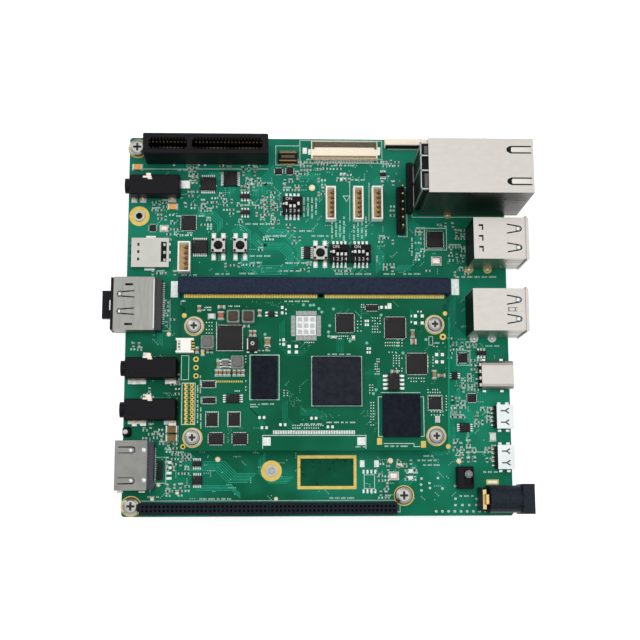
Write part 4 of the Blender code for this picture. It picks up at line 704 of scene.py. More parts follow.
# Patches between two columns and two rows: those of the north field, then the
# rest.  Words run from a column to a column on a row, or down a column.
NORTH_PATCHES = [
    (151, 168, 200.5, 212), (157, 181, 213, 220), (156, 176, 221, 226), (165, 180, 227, 242),
    (182, 197, 203, 210), (200, 218, 200, 213), (200, 212, 218, 231), (218, 232, 193, 198),
    (222, 242, 199, 216), (245, 262, 178, 188), (248, 272, 195, 210), (254, 270, 212, 222),
    (262, 276, 190, 200), (276, 300, 175, 192), (288, 312, 160, 176), (316, 342, 162, 171),
    (336, 352, 172, 183), (376, 400, 160, 168), (380, 396, 176, 186), (388, 396, 204, 222),
    (270, 282, 216, 228), (285, 298, 222, 232), (256, 264, 244, 252), (292, 302, 236, 246),
    (222, 262, 262, 268), (176, 192, 232, 238), (150, 178, 270, 276), (415, 425, 228, 262),
    (448, 466, 228, 262), (425, 446, 268, 274), (452, 470, 268, 276), (436, 456, 222, 228),
    (378, 396, 236, 244), (382, 396, 262, 272), (300, 312, 262, 272), (334, 352, 268, 274),
    (188, 198, 172, 198), (206, 222, 196, 200), (240, 258, 162, 176), (262, 276, 200, 214),
    (240, 252, 184, 196), (272, 286, 204, 216), (238, 250, 214, 224), (186, 198, 160, 172),
    (284, 300, 196, 214), (316, 326, 178, 196), (262, 274, 232, 242), (218, 232, 160, 168)]
OTHER_PATCHES = [
    (452, 478, 342, 352), (452, 466, 354, 372), (470, 482, 358, 372), (460, 480, 374, 392),
    (450, 466, 396, 424), (474, 492, 408, 428), (452, 478, 438, 462), (484, 496, 446, 462),
    (378, 392, 462, 470), (378, 390, 474, 500), (396, 414, 460, 468), (404, 418, 468, 482),
    (158, 178, 442, 454), (164, 190, 452, 476), (158, 190, 484, 498), (142, 164, 424, 440),
    (140, 156, 398, 400), (163, 176, 300, 326), (130, 142, 342, 352), (446, 454, 336, 360),
    (146, 152, 384, 396), (170, 180, 372, 396), (182, 192, 455, 462)]
LEVEL_WORDS = [
    (182, 200, 275), (216, 228, 274), (240, 252, 273.5), (280, 302, 271), (336, 352, 274), (356, 366, 274),
    (384, 396, 274), (404, 416, 274), (456, 492, 277), (246, 270, 224), (286, 304, 263), (312, 328, 236),
    (351, 367, 180), (262, 274, 183), (178, 196, 170), (334, 352, 165.5), (300, 314, 231), (148, 160, 497),
    (200, 230, 499), (330, 356, 498), (486, 500, 346), (484, 500, 472), (460, 476, 496), (424, 434, 456),
    (418, 438, 460.4), (424, 438, 465), (200, 214, 186), (238, 256, 205), (266, 284, 236), (250, 272, 256),
    (186, 204, 216)]
UPRIGHT_WORDS = [
    (304, 198, 216), (308, 198, 216), (312, 198, 216), (316, 198, 216), (332, 221, 238), (336, 219, 238),
    (340, 221, 238), (344, 217, 238), (354, 225, 238), (358, 223, 238), (362, 221, 238), (366, 217, 238),
    (412, 238, 254), (377, 256, 264)]
small = Lot("carrier_passives", "cream_plastic")
scatter_ink = Lot("carrier_ink_small", "board_mask")
for part in LARGER_PARTS:
    passive(small, *part)
for first_seed, patches in ((40, NORTH_PATCHES), (90, OTHER_PATCHES)):
    for n, patch in enumerate(patches):
        cluster(small, scatter_ink, *patch, seed=first_seed + n)
small.make()
for n, (x0, x1, py) in enumerate(LEVEL_WORDS):
    dashes(scatter_ink, x0, x1, py, 7 + n)
for n, (px, y0, y1) in enumerate(UPRIGHT_WORDS):
    dashes(scatter_ink, y0, y1, px, 50 + n, upright=True)
scatter_ink.make()

# Push-button cases: black base, pale pressed-metal lid with four black rivets
# at its corners, round hole for the plunger, two legs at each end.
lid = finish_of("switch_lid", (0.40, 0.40, 0.38), (0.52, 0.52, 0.49), 0.36, 0.7, scale=220)
black_plastic = finish_of("black_plastic", (0.004, 0.004, 0.006), (0.008, 0.008, 0.010), 0.38, scale=200,
                          bump=0.2, shine=0.12)
BUTTONS = [(-31.35, 24.3), (-24.45, 24.3), (0.85, 22.0)]
BUTTON_HOLE, BUTTON_HALF = 1.42, 2.22
LID_LOW, LID_EDGE, LID_TOP = 1.95, 2.42, 2.5
# A leg's pieces: the flat by the case, the drop, the foot and its land.
BUTTON_LEG = [(2.2, 2.55, 1.0, 0.9, 1.1, tin, 0.0), (2.4, 2.6, 1.0, 0.05, 1.1, tin, 0.0),
              (2.4, 4.1, 1.0, 0.02, 0.22, tin, 0.05), (2.3, 4.4, 1.36, 0.0, 0.04, solder, 0.0)]
cases = Lot("button_cases", "grey_plastic")
for x, y in BUTTONS:
    cases.slope(x, y, 4.6, 4.6, 0.02, 2.0, black_plastic, edge=0.2, draft=0.05)
    hole = circle(0, 0, BUTTON_HOLE, 32)
    square = [Vector(p) * BUTTON_HALF / max(abs(p[0]), abs(p[1])) for p in circle(0, 0, 1, 32)]
    stack = [(hole, 1, LID_LOW), (square, 1, LID_LOW), (square, 1, LID_EDGE), (square, 0.975, LID_TOP),
             (hole, 1, LID_TOP), (hole, 1, LID_LOW)]
    lid_rings = [[(x + a * grow, y + b * grow, z) for a, b in ring] for ring, grow, z in stack]
    cases.rings(lid_rings, lid, close=False)
    for sx in (-1, 1):
        for sy in (-1, 1):
            cases.round(x + sx * 1.72, y + sy * 1.72, 2.4, 2.72, 0.42, black_plastic, steps=16, dome=0.12)
            for near, far, wide, low, high, skin, edge in BUTTON_LEG:
                cases.bar(x + sx * 1.5, y, sy * near, sy * far, wide, low, high, skin, edge)
cases.make()

# Wire headers: moulded white nylon shrouds soldered upright, with a tan floor
# and five or six gold pins inside, each beside its bronze spring.
nylon = finish_of("white_nylon", (0.93, 0.92, 0.84), (0.97, 0.96, 0.90), 0.42, scale=160, bump=0.15)
header_floor = finish_of("header_floor", (0.58, 0.38, 0.20), (0.70, 0.50, 0.30), 0.5, scale=160)
pin_bronze = finish_of("pin_bronze", (0.11, 0.05, 0.02), (0.20, 0.11, 0.05), 0.4, 0.6, scale=160)
# Middle, width and depth of each, and how many wires it takes.
WIRE_HEADERS = [
    (4.2, 37.95, 3.2, 10.85, 6), (12.95, 38.0, 3.2, 10.85, 6), (19.0, 38.1, 3.4, 10.85, 6),
    (-41.95, 20.35, 3.9, 9.7, 5)]


def tray(lot, x, y, w, d, z0, z1, wall, floor, finish):
    """A box with an open top."""
    def ring(inset, z):
        a, b, e, f = x - w / 2 + inset, x + w / 2 - inset, y - d / 2 + inset, y + d / 2 - inset
        return [(a, e, z), (b, e, z), (b, f, z), (a, f, z)]
    lot.rings([ring(0, z0), ring(0, z1 - 0.1), ring(0.08, z1), ring(wall - 0.06, z1), ring(wall, z1 - 0.1),
               ring(wall, floor)], finish)


heads = Lot("wire_headers", "white_plastic")
for x, y, w, d, ways in WIRE_HEADERS:
    tray(heads, x, y, w, d, 0, 3.9, 0.45, 1.05, nylon)
    heads.box(x, y, w - 1.0, d - 1.2, 1.0, 1.12, header_floor)
    for c in run(y + d / 2 - 1.6, -(d - 2.4) / (ways - 0.6), ways):
        heads.span(x + 0.1, x + w / 2 - 0.5, c - 0.42, c + 0.42, 1.1, 2.2, pin_bronze)
        heads.span(x - 0.15, x + 0.3, c - 0.22, c + 0.22, 1.1, 3.2, gold, edge=0.1)
heads.make()

# Small moulded parts: the flat camera connector with its latch and gold tails,
# the panel connector on the north edge with a black flap and tinned tails, and
# a black block at the west edge with a round white dome, the white a painted highlight.
floor_tan = finish_of("shroud_floor", (0.26, 0.16, 0.06), (0.36, 0.22, 0.08), 0.5, scale=160)
cream = finish_of("cream_plastic", (0.92, 0.82, 0.65), (0.98, 0.88, 0.73), 0.42, scale=160, bump=0.12)
brown_latch = finish_of("latch_plastic", (0.085, 0.062, 0.038), (0.13, 0.105, 0.07), 0.36, scale=180,
                        bump=0.15)
CAMERA_PORT, PANEL_PORT, PANEL_W, LENS_BLOCK = (-9.4, 53.55), (28.5, 58.3), 13.5, (-58.8, -34.2)
ribbon = Lot("ribbon_connectors", "cream_plastic")
x, y = CAMERA_PORT
ribbon.slope(x, y, 6.2, 3.6, 0.05, 1.9, black_plastic, edge=0.18, draft=0.03)
ribbon.box(x, y, 4.4, 0.9, 1.7, 1.98, brown_latch, edge=0.1)
for s in (-1, 1):
    ribbon.box(x, y + s * 1.35, 5.5, 0.44, 1.7, 2.0, floor_tan, edge=0.05)
    for c in run(x - 2.3, 4.6 / 11, 12):
        ribbon.bar(c, y, s * 1.75, s * 2.35, 0.22, 0.02, 0.3, gold)
x, y = PANEL_PORT
ribbon.slope(x, y + 0.275, PANEL_W, 2.05, 0.05, 2.3, cream, edge=0.15, draft=0.03)
ribbon.slope(x, y - 1.0, PANEL_W - 0.6, 0.6, 0.05, 1.8, black_plastic, edge=0.15, draft=0.03)
for c in run(x - PANEL_W / 2 + 1.2, (PANEL_W - 2.4) / 19, 20):
    ribbon.bar(c, y, -1.8, -1.2, 0.24, 0.02, 0.25, tin)
x, y = LENS_BLOCK
ribbon.slope(x, y, 2.7, 3.0, 0.05, 1.2, black_plastic, edge=0.5, draft=0.02)
# The dome's white is a painted highlight.
ribbon.round(x - 0.35, y, 1.1, 1.5, 0.75, ceramic, steps=24, dome=0.25)
ribbon.make()

# Module spacers: turned brass posts, nickel plated, soldered upright to gold
# lands of the carrier.  The module rests on them and its screws end in them.
MODULE_SCREWS = [(-38.22, -2.2), (35.98, -1.6), (-38.27, -36.4), (35.83, -36.0)]
posts = Lot("module_spacers", "screw_steel")
for x, y in MODULE_SCREWS:
    posts.washer(x, y, 0, 4.85, 1.3, 2.3, nut_steel, steps=24)
    posts.washer(x, y, 0, 0.06, 2.3, 2.9, gold, steps=24)
posts.make()

# The module: a 1.2 mm green laminate with gold edge fingers along its north
# side, keyed near the middle, and a half-round notch at each end.
MOD_BOT, MOD_TOP = 6.6, 7.8
M_WEST, M_EAST, M_SOUTH, M_NORTH = -42.17, 39.83, -40.3, 9.7
M_CORNER = 0.4
NOTCH_R, MODULE_BORE = 1.2, 1.4
KEY_X, KEY_W, KEY_DEPTH = 0.79, 1.5, 2.8
module_green = mask_finish("module_green", (0.001, 0.088, 0.038), (0.003, 0.125, 0.062), (0.01, 0.17, 0.095))


def half_round(x, y, r, east):
    """A notch in the east or the west edge, its points in the outline's turn."""
    turns = [math.pi * k / 12 for k in range(13)]
    side = 1 if east else -1
    points = [(x - side * r * math.sin(turn), y - r * math.cos(turn)) for turn in turns]
    return points if east else points[::-1]


key_east, key_west = KEY_X + KEY_W / 2, KEY_X - KEY_W / 2
edge = [(M_WEST + M_CORNER, M_SOUTH), (M_EAST - M_CORNER, M_SOUTH), (M_EAST, M_SOUTH + M_CORNER)]
edge += half_round(M_EAST, M_NORTH - 6.1, NOTCH_R, True)
edge += [(M_EAST, M_NORTH), (key_east, M_NORTH), (key_east, M_NORTH - KEY_DEPTH),
         (key_west, M_NORTH - KEY_DEPTH), (key_west, M_NORTH), (M_WEST, M_NORTH)]
edge += half_round(M_WEST, M_NORTH - 6.9, NOTCH_R, False)
edge += [(M_WEST, M_SOUTH + M_CORNER)]
module_holes = [(*at, MODULE_BORE) for at in MODULE_SCREWS]
slab("module_laminate", edge, module_holes, MOD_BOT, MOD_TOP, module_green, "module_board")

# Bare copper of the module: the gold fingers on both faces, the rings under
# its screws, gold lands and plated holes, and solder-coated pads.
FINGER_PITCH, FINGER_W = 0.5, 0.36
FINGER_FROM, FINGER_TO = M_NORTH - 3.05, M_NORTH - 0.2
GOLD_LANDS = [
    (184.3, 315.5, 0.75), (445, 313.5, 0.7), (448.3, 446.5, 0.75)]
PLATED_HOLES = [
    (442.9, 336.8, 1.0, 0.42), (182.8, 446.8, 0.75, 0.4), (196, 359.3, 0.85, 0.42), (196, 367.6, 0.8, 0.42),
    (196, 375.9, 0.8, 0.42)]
PIN_ROWS, PIN_COLUMNS = run(385, 4.18, 10), ((186.2, 187.1), (191.9, 191.7))
FINE_ROW, FINE_PITCH = (216.5, 381.5), 0.545
GOLD_PADS = [(379.5, 441.4, 1.5, 2.0), (423.5, 444.3, 1.5, 2.0)]
TINNED_PADS = [(266.9, 441.5, 2.3, 2.5), (361.4, 441.2, 2.5, 2.4)]
COMB_COLUMNS, COMB_ROW = run(273.6, 1.648, 50), 432.3
plating = Lot("module_pads", "nickel_shell", MOD_TOP)
for west, east in [(M_WEST + 0.9, KEY_X - 1.4), (KEY_X + 1.4, M_EAST - 0.9)]:
    count = int((east - west) / FINGER_PITCH)
    for x in run(west, (east - west) / count, count + 1):
        for low in (0, MOD_BOT - MOD_TOP - 0.03):
            plating.bar(x, 0, FINGER_FROM, FINGER_TO, FINGER_W, low, low + 0.03, gold)
for x, y in MODULE_SCREWS:
    plating.washer(x, y, 0, 0.04, MODULE_BORE, 3.05, gold, steps=36)
for px, py, r in GOLD_LANDS:
    plating.round(*plating.at(px, py), 0, 0.05, r, gold, dome=0.03)
# The plated holes are plugged with painted shade.
for px, py, r, hole in PLATED_HOLES:
    x, y = plating.at(px, py)
    plating.washer(x, y, 0, 0.04, hole, r, gold)
    plating.round(x, y, -0.2, 0.01, hole, hole_shade)
# Each pin of the rows: a gold pad, with a small dark disc of painted shade for its hole.
for py in PIN_ROWS:
    for px, hole in PIN_COLUMNS:
        plating.round(*plating.at(px, py), 0, 0.04, 0.66, gold, steps=8)
        plating.round(*plating.at(hole, py), 0, 0.05, 0.27, hole_shade, steps=12)
x, y = plating.at(*FINE_ROW)
for c in run(x, FINE_PITCH, 15):
    plating.bar(c, y, 0, 0.3, 0.6, 0, 0.04, gold, north=False)
plating.pads(GOLD_PADS, gold, 0.05)
plating.pads(TINNED_PADS, solder, 0.08)
plating.grid(COMB_COLUMNS, (COMB_ROW,), 0.33, 1.15, solder, 0.04)

# The module's empty places: bare solder pads left for parts that aren't
# fitted, with the square many-pad place near its north edge.
grey_solder = finish_of("dull_solder", (0.34, 0.34, 0.35), (0.50, 0.50, 0.50), 0.42, 1.0, scale=300)
EMPTY_THICK = 0.05
PAIRED_PADS = [
    (261.8, 417.5), (282.8, 424.7), (313.8, 418.2), (264.3, 427.7), (330.2, 426.8)]
SQUARE_PLACES = [
    (415.4, 422.2, 316, 323), (436.6, 442.4, 354.6, 361.8), (289.2, 296.4, 346.4, 352)]
FOUR_PAD_PLACES = [
    (366.8, 322.9), (368.7, 350.4)]
ODD_PADS = [
    (282.2, 307.4, 0.8, 0.9), (282.2, 312.8, 0.8, 0.9), (286, 309.5, 0.4, 0.5), (286, 313.5, 0.4, 0.5),
    (283.6, 339.8, 0.8, 0.9), (283.6, 344.3, 0.8, 0.9), (280, 340, 0.4, 0.5), (280, 344, 0.4, 0.5),
    (381.5, 307.3, 0.9, 0.9), (386, 307.3, 0.7, 0.9), (389.5, 306, 1.2, 1.7), (411.3, 316, 0.4, 0.6),
    (411.3, 322, 0.4, 0.6), (418, 311.6, 0.4, 0.5), (421, 311.6, 0.4, 0.5)]
# Two columns and two rows of the picture, with how many dots lie between each.
DOT_BLOCKS = [
    (372.6, 380, 4, 318, 332, 6), (375.2, 379, 3, 359, 374, 7), (393.5, 402, 4, 353, 371, 8),
    (371, 373.6, 2, 402.6, 425, 9), (369.8, 372.6, 2, 385, 393, 4), (385.5, 399, 7, 342.6, 345.6, 2),
    (398, 402, 2, 340, 346, 3), (408.5, 424, 7, 378.2, 381.4, 2), (389, 399, 4, 352.2, 353, 1),
    (446.3, 446.4, 1, 396, 410, 6), (428, 440, 6, 389.6, 392.4, 2), (431.5, 443, 5, 411.6, 415, 2),
    (337, 352, 8, 336.2, 338.6, 2), (357.6, 361, 2, 318, 331, 5), (361.5, 363.5, 2, 304.8, 309.5, 3),
    (434, 443, 4, 343, 346.5, 2), (428, 433, 2, 357, 366, 4), (305, 313.5, 5, 342.4, 342.6, 1),
    (245.8, 245.9, 1, 356, 362, 3), (245.8, 245.9, 1, 378, 390, 5), (251, 259, 5, 404.5, 406.8, 2),
    (284, 287.5, 2, 390.5, 395.5, 3), (206.5, 212, 3, 322.5, 333, 4), (293, 323, 14, 425.4, 428, 2)]
# The many-pad place: the first pad and the step of its sides, the two columns
# and two rows that the sides lie on, and the large pad in its middle.
QUAD_FROM, QUAD_STEP, QUAD_COLUMNS, QUAD_ROWS = (296.6, 316.2), 1.29, (293.3, 318.7), (313.2, 338.2)
QUAD_MIDDLE = (306.1, 325.7, 6.1, 6.1)
QUAD_SQUARES = (run(299.8, 6.3, 3), run(319.4, 6.3, 3))


def dots(lot, x0, x1, nx, y0, y1, ny, seed):
    """A block of small bare pads or filled holes in even rows, a few left out."""
    luck = random.Random(seed)
    for px in run(x0, (x1 - x0) / max(1, nx - 1), nx):
        for py in run(y0, (y1 - y0) / max(1, ny - 1), ny):
            if luck.random() >= 0.12:
                lot.pad(px, py, 0.3, 0.3, solder)


for px, py in PAIRED_PADS:
    plating.grid((px - 2.3, px + 2.3), (py,), 0.75, 0.85, solder, EMPTY_THICK)
for x0, x1, y0, y1 in SQUARE_PLACES:
    plating.grid((x0, x1), (y0, y1), 0.95, 0.95, solder, EMPTY_THICK)
for px, py in FOUR_PAD_PLACES:
    plating.grid((px - 1.2, px + 1.2), (py - 1.9, py + 1.9), 0.52, 0.75, solder, EMPTY_THICK)
plating.pads(ODD_PADS, solder, EMPTY_THICK)
plating.grid(run(QUAD_FROM[0], QUAD_STEP, 16), QUAD_ROWS, 0.27, 1.35, grey_solder, EMPTY_THICK)
plating.grid(QUAD_COLUMNS, run(QUAD_FROM[1], QUAD_STEP, 16), 1.35, 0.27, grey_solder, EMPTY_THICK)
plating.pad(*QUAD_MIDDLE, solder, 0.03)
plating.grid(*QUAD_SQUARES, 1.35, 1.35, grey_solder, EMPTY_THICK)
for n, block in enumerate(DOT_BLOCKS):
    dots(plating, *block, seed=30 + n)
plating.make()

# White ink on the module: frames round the large chips and the headers, and
# round test points where the green mask is open.
mint = finish_of("mint_point", (0.16, 0.44, 0.32), (0.24, 0.54, 0.42), 0.4, scale=200)
MODULE_OUTLINES = [
    (249.6, 279.5, 354.6, 400.1, 0.26), (311.2, 362.4, 356, 406.3, 0.26),
    (377.8, 424.6, 396.5, 436.8, 0.22), (181.8, 195, 382.8, 424.8, 0.2), (181.3, 188.8, 355.4, 380, 0.16),
    (205.4, 218.6, 411.5, 427, 0.16), (227.4, 240.6, 411.5, 427, 0.16), (200.8, 216.3, 380.4, 387.8, 0.14),
    (200.8, 216.3, 396.8, 403.8, 0.14), (428.5, 433, 336.3, 345.3, 0.14), (427.6, 442.6, 395, 410.6, 0.14)]
MODULE_LINES = [
    [(262.6, 448.5), (262.6, 435.4), (366, 435.4), (366, 448.5)],
    [(384, 443.5), (414, 443.5), (414, 446.5), (420, 446.5)], [(216.5, 322), (216.5, 350.6), (243, 350.6)],
    [(381, 392.6), (420, 392.6)]]
TEST_POINTS = [
    (333.5, 308.9), (319, 308.6), (310.3, 305.2), (313.7, 305), (303.5, 304.8), (329.7, 325.6),
    (328.5, 332), (328.7, 336.2), (381, 315), (366.8, 343), (403, 353), (376, 389.8), (350, 341),
    (321.8, 312), (217.8, 359.8), (265, 334.4), (373.4, 393.6), (426, 339.5)]
MODULE_WORDS = [
    (182, 188, 301), (285, 309, 301.3), (229, 236, 306.2), (328, 350, 354.3), (327, 353, 422.4),
    (385, 410, 446.2), (301, 321, 424), (258, 268, 350.6), (202, 212, 310), (235, 243, 391),
    (262, 272, 404), (356, 366, 446.8), (434, 443, 343), (205, 214, 307.5)]
MODULE_UPRIGHT_WORDS = [
    (200.4, 376, 394), (200.8, 408, 424), (440.5, 411, 414), (197.6, 386, 424)]
print_ink = Lot("module_ink", "board_mask", MOD_TOP)
for area in MODULE_OUTLINES:
    outline(print_ink, *area)
for line in MODULE_LINES:
    stroke(print_ink, line)
for px, py in TEST_POINTS:
    print_ink.round(*print_ink.at(px, py), 0, 0.025, 0.46, mint, steps=18)
for n, (x0, x1, py) in enumerate(MODULE_WORDS):
    dashes(print_ink, x0, x1, py, 120 + n, high=0.4)
for n, (px, y0, y1) in enumerate(MODULE_UPRIGHT_WORDS):
    dashes(print_ink, y0, y1, px, 160 + n, upright=True, high=0.36)
print_ink.make()

# Copper under the module's mask: short bundles of traces between the large
# chips, plugged via holes, and a clear strip along the east edge.
module_trace = finish_of("module_trace", (0.006, 0.19, 0.10), (0.01, 0.24, 0.135), 0.3, scale=60, shine=0.05)
module_via = finish_of("module_via", (0.07, 0.28, 0.18), (0.14, 0.36, 0.26), 0.35, scale=120, shine=0.05)
MODULE_BUNDLES = [
    ([(282, 322), (282, 345), (290, 353), (305, 353)], 4, (1, -1)),
    ([(300, 412), (316, 412), (324, 418)], 5, (0, 1)),
    ([(366, 372), (374, 372), (380, 378), (380, 388)], 4, (1, -1)),
    ([(250, 408), (262, 420), (262, 432)], 4, (1, 1)),
    ([(285, 402), (285, 420), (293, 428), (306, 428)], 4, (1, -1)), ([(396, 340), (396, 350)], 4, (1, 0)),
    ([(340, 338), (340, 352)], 5, (1, 0)), ([(412, 310), (412, 322), (420, 330)], 3, (1, 1))]
MODULE_VIA_PATCHES = [
    (284, 310, 338, 350, 30), (340, 372, 308, 318, 24), (284, 308, 380, 415, 40), (365, 376, 400, 432, 16),
    (424, 446, 346, 392, 40), (300, 376, 410, 420, 30), (205, 260, 425, 446, 24), (380, 400, 300, 312, 10),
    (240, 300, 301, 308, 20)]
MODULE_STRIP = [(448.9, 318), (448.9, 450)]
module_lanes = Lot("module_traces", "board_mask", MOD_TOP)
for points, count, across in MODULE_BUNDLES:
    bundle(module_lanes, points, count, across, module_trace)
for n, patch in enumerate(MODULE_VIA_PATCHES):
    vias(module_lanes, *patch, seed=400 + n, finish=module_via)
stroke(module_lanes, MODULE_STRIP, edge_strip, 0.55, TRACE_THICK)
module_lanes.make()

# Chips and coils on the module.  The coils are pale ferrite frames with a
# brown wound block in the middle; network chips stand on silver edge pads.
coil_frame = finish_of("coil_frame", (0.20, 0.25, 0.23), (0.32, 0.37, 0.34), 0.45, scale=220)
coil_core = finish_of("coil_core", (0.045, 0.032, 0.024), (0.085, 0.06, 0.045), 0.4, scale=300, bump=0.3)
coil_grey = finish_of("coil_grey", (0.14, 0.13, 0.13), (0.21, 0.20, 0.20), 0.42, scale=300, bump=0.3)
MX, MY = (M_WEST + M_EAST) / 2, (M_SOUTH + M_NORTH) / 2
# From the module's middle: place, width, depth and height, leads and their pitch.
MODULE_PACKAGES = [
    (-26.13, 9.45, 7.7, 7.7, 0.9, "quad", 0.4), (-27.33, 1.4, 2.1, 2.7, 1.0, "ew", 0.95),
    (-32.43, -4.85, 4.0, 1.9, 0.8, "quad", 0.5), (-32.23, -9.8, 4.0, 1.8, 0.8, "quad", 0.5),
    (-24.98, -9.2, 4.2, 2.6, 1.0, "ew", 0.65), (-31.28, -15.55, 3.5, 4.1, 0.9, "quad", 0.5),
    (-24.53, -15.5, 3.5, 4.1, 0.9, "quad", 0.5), (-29.98, -21.4, 4.5, 3.5, 0.9, "quad", 0.5),
    (-22.78, -21.4, 4.5, 3.5, 0.9, "quad", 0.5), (9.37, 14.15, 5.6, 5.8, 0.9, "quad", 0.4),
    (17.77, 18.9, 4.0, 1.8, 0.8, "quad", 0.5), (24.87, 12.65, 6.4, 6.6, 0.9, "quad", 0.4),
    (31.42, 1.45, 6.4, 6.4, 0.9, "quad", 0.4), (24.17, -4.2, 3.6, 5.2, 1.6, "ew", 1.27),
    (36.77, -10.6, 4.0, 4.0, 0.9, "quad", 0.5)]
COILS = [(-25.08, 15.95, coil_core), (-20.43, 15.95, coil_core), (-32.88, 8.0, coil_grey),
         (-23.68, 1.8, coil_grey)]
COIL_W, COIL_D, COIL_H = 4.0, 4.1, 2.4
module_chips = Lot("module_chips", "chip_epoxy", MOD_TOP)
for x, y, w, d, h, leads, pitch in MODULE_PACKAGES:
    chip(module_chips, MX + x, MY + y, w, d, h, leads, pitch, reach=1.45 if pitch > 1 else 0.9)
for x, y, core in COILS:
    x, y = MX + x, MY + y
    module_chips.slope(x, y, COIL_W, COIL_D, 0.05, COIL_H * 0.78, coil_frame, edge=0.3, draft=0.02)
    tray(module_chips, x, y, COIL_W - 0.24, COIL_D - 0.24, 1.0, COIL_H * 0.86, 0.3, COIL_H * 0.7, coil_frame)
    module_chips.slope(x, y, COIL_W - 1.1, COIL_D - 1.1, 1.0, COIL_H, core, edge=0.35, draft=0.02)
x, y = MX - 19.28, MY + 7.3
module_chips.slope(x, y, 3.6, 4.2, 0.05, 1.6, epoxy, edge=0.2, draft=0.03)
module_chips.span(x - 1.5, x - 1.15, y - 1.7, y + 1.8, 1.6, 1.62, ceramic)
module_chips.washer(x + 0.2, y + 0.3, 1.6, 1.62, 0.32, 0.58, ceramic)
for c in (x - 1.2, x + 1.2):
    module_chips.bar(c, y, -2.5, -2.0, 0.8, 0.03, 0.5, tin)
chip(module_chips, MX - 13.33, MY + 16.9, 2.2, 1.5, 0.9, "ew", 0.95)
can(module_chips, MX + 37.47, MY - 15.6, 1.2, 1.7, 0.8, ceramic)
module_chips.make()

# Two-ended parts on the module, the three-way wire connector at its west
# edge, and the row of seven capacitors beside the power chip.
tantalum = finish_of("tantalum_body", (0.62, 0.40, 0.16), (0.74, 0.50, 0.22), 0.4, scale=160)
rust = finish_of("capacitor_rust", (0.34, 0.09, 0.05), (0.46, 0.15, 0.09), 0.36, scale=260)
# Length, width, height and body of each, and whether it stands north to south.
MODULE_PASSIVES = [
    (199.2, 308.4, 1.7, 1.0, 0.6, rust, True), (221.4, 306.9, 1.9, 1.0, 0.7, tan, False),
    (220.8, 315.4, 2.3, 1.75, 0.9, rust, True), (211.6, 316.2, 1.9, 1.6, 0.8, ceramic, False),
    (259.6, 313, 1.9, 1.05, 0.8, tan, True), (250.6, 333.2, 1.6, 0.85, 0.6, rust, True),
    (254.6, 333.2, 1.6, 0.85, 0.6, rust, True), (267.4, 341.8, 2.7, 1.8, 1.1, tan, True),
    (267, 348.6, 1.1, 0.8, 0.5, tan, True), (197, 350, 1.7, 0.9, 0.6, rust, True),
    (202.6, 352.6, 1.6, 1.0, 0.6, tantalum, True), (207.6, 350.6, 1.1, 0.6, 0.5, rust, True),
    (211.6, 350.6, 1.1, 0.6, 0.5, resistor, True), (218.4, 364.4, 2.0, 1.0, 0.8, tan, True),
    (225.3, 363.4, 2.6, 2.0, 1.1, coil_grey, True), (412.7, 333.4, 2.2, 1.15, 0.8, tan, True),
    (413.6, 341.4, 1.5, 1.6, 0.8, rust, False), (434.4, 374.4, 2.4, 1.2, 0.8, tan, True),
    (441.6, 375.4, 2.0, 0.95, 0.7, tan, False), (394.6, 371.4, 1.9, 0.9, 0.6, tan, False),
    (333.6, 337, 1.4, 0.75, 0.5, ceramic, False), (246.4, 326, 1.6, 0.7, 0.5, coil_grey, False),
    (353.4, 337.6, 1.1, 1.0, 0.6, beige, True)]
ROW_COLUMNS, CAPACITOR_ROW, RUST_ONE = [216.6, 220.4, 224.8, 228.7, 234.4, 238.9, 243], 372.7, 1
WIRE_CONNECTOR, WIRE_STEP = (-40.9, -8.35, 5.6, 4.5), 0.9
bits = Lot("module_passives", "cream_plastic", MOD_TOP)
for part in MODULE_PASSIVES:
    passive(bits, *part)
for k, px in enumerate(ROW_COLUMNS):
    passive(bits, px, CAPACITOR_ROW, 1.85, 0.98, 0.8, rust if k == RUST_ONE else tan, True)
x, y, w, d = WIRE_CONNECTOR
west, east = x - w / 2, x + w / 2
tray(bits, x - 0.225, y, w - 1.35, d - 1.0, 0.05, 2.0, 0.3, 1.3, nylon)
bits.bar(west, y, 0.75, 1.55, d - 2.0, 1.25, 1.32, pin_bronze, north=False)
bits.slope(x + 0.3, y, w - 2.4, d - 1.0, 0.05, 1.95, nylon, edge=0.15, draft=0.02)
for c in (y - d / 2 + 0.35, y + d / 2 - 0.35):
    bits.slope(x, c, w, 0.7, 0.05, 1.9, nylon, edge=0.12, draft=0.02)
for c in run(y - WIRE_STEP, WIRE_STEP, 3):
    bits.bar(east, c, -1.0, 0.1, 0.4, 0.02, 0.35, gold, north=False)
    bits.bar(west, c, 0.4, 1.5, 0.36, 1.35, 1.55, tin, north=False)
bits.make()

# The parts carried over from the CAD keep their shape and get their finish:
# moulded plastics with a fine grain, plated sheet steel with faint rolling
# lines, brass legs and bright screws.
navy = finish_of("navy_plastic", (0.008, 0.015, 0.038), (0.018, 0.028, 0.054), 0.36, scale=140, bump=0.15,
                 shine=0.1)
grey_plastic = finish_of("grey_plastic", (0.20, 0.205, 0.21), (0.28, 0.285, 0.29), 0.3, scale=160, bump=0.1)
white_plastic = finish_of("white_plastic", (0.70, 0.70, 0.67), (0.80, 0.80, 0.77), 0.35, scale=160, bump=0.1)
teal_plastic = finish_of("teal_plastic", (0.01, 0.12, 0.22), (0.015, 0.17, 0.29), 0.36, scale=160, bump=0.1)
shell = finish_of("shell_nickel", (0.45, 0.427, 0.395), (0.49, 0.47, 0.44), 0.3, 1.0, scale=34, detail=8.0,
                  bump=0.08, rough_to=0.42, stretch=(1, 2, 1))
bright_shell = finish_of("shell_bright", (0.50, 0.54, 0.54), (0.56, 0.60, 0.60), 0.26, 1.0, scale=20,
                         bump=0.05)
warm_shell = finish_of("shell_warm", (0.24, 0.24, 0.225), (0.30, 0.30, 0.28), 0.32, 1.0, scale=16,
                       detail=8.0, bump=0.08, stretch=(6, 1, 1))
cover = finish_of("reader_cover", (0.40, 0.40, 0.37), (0.46, 0.46, 0.43), 0.34, 1.0, scale=16, detail=8.0,
                  bump=0.08)
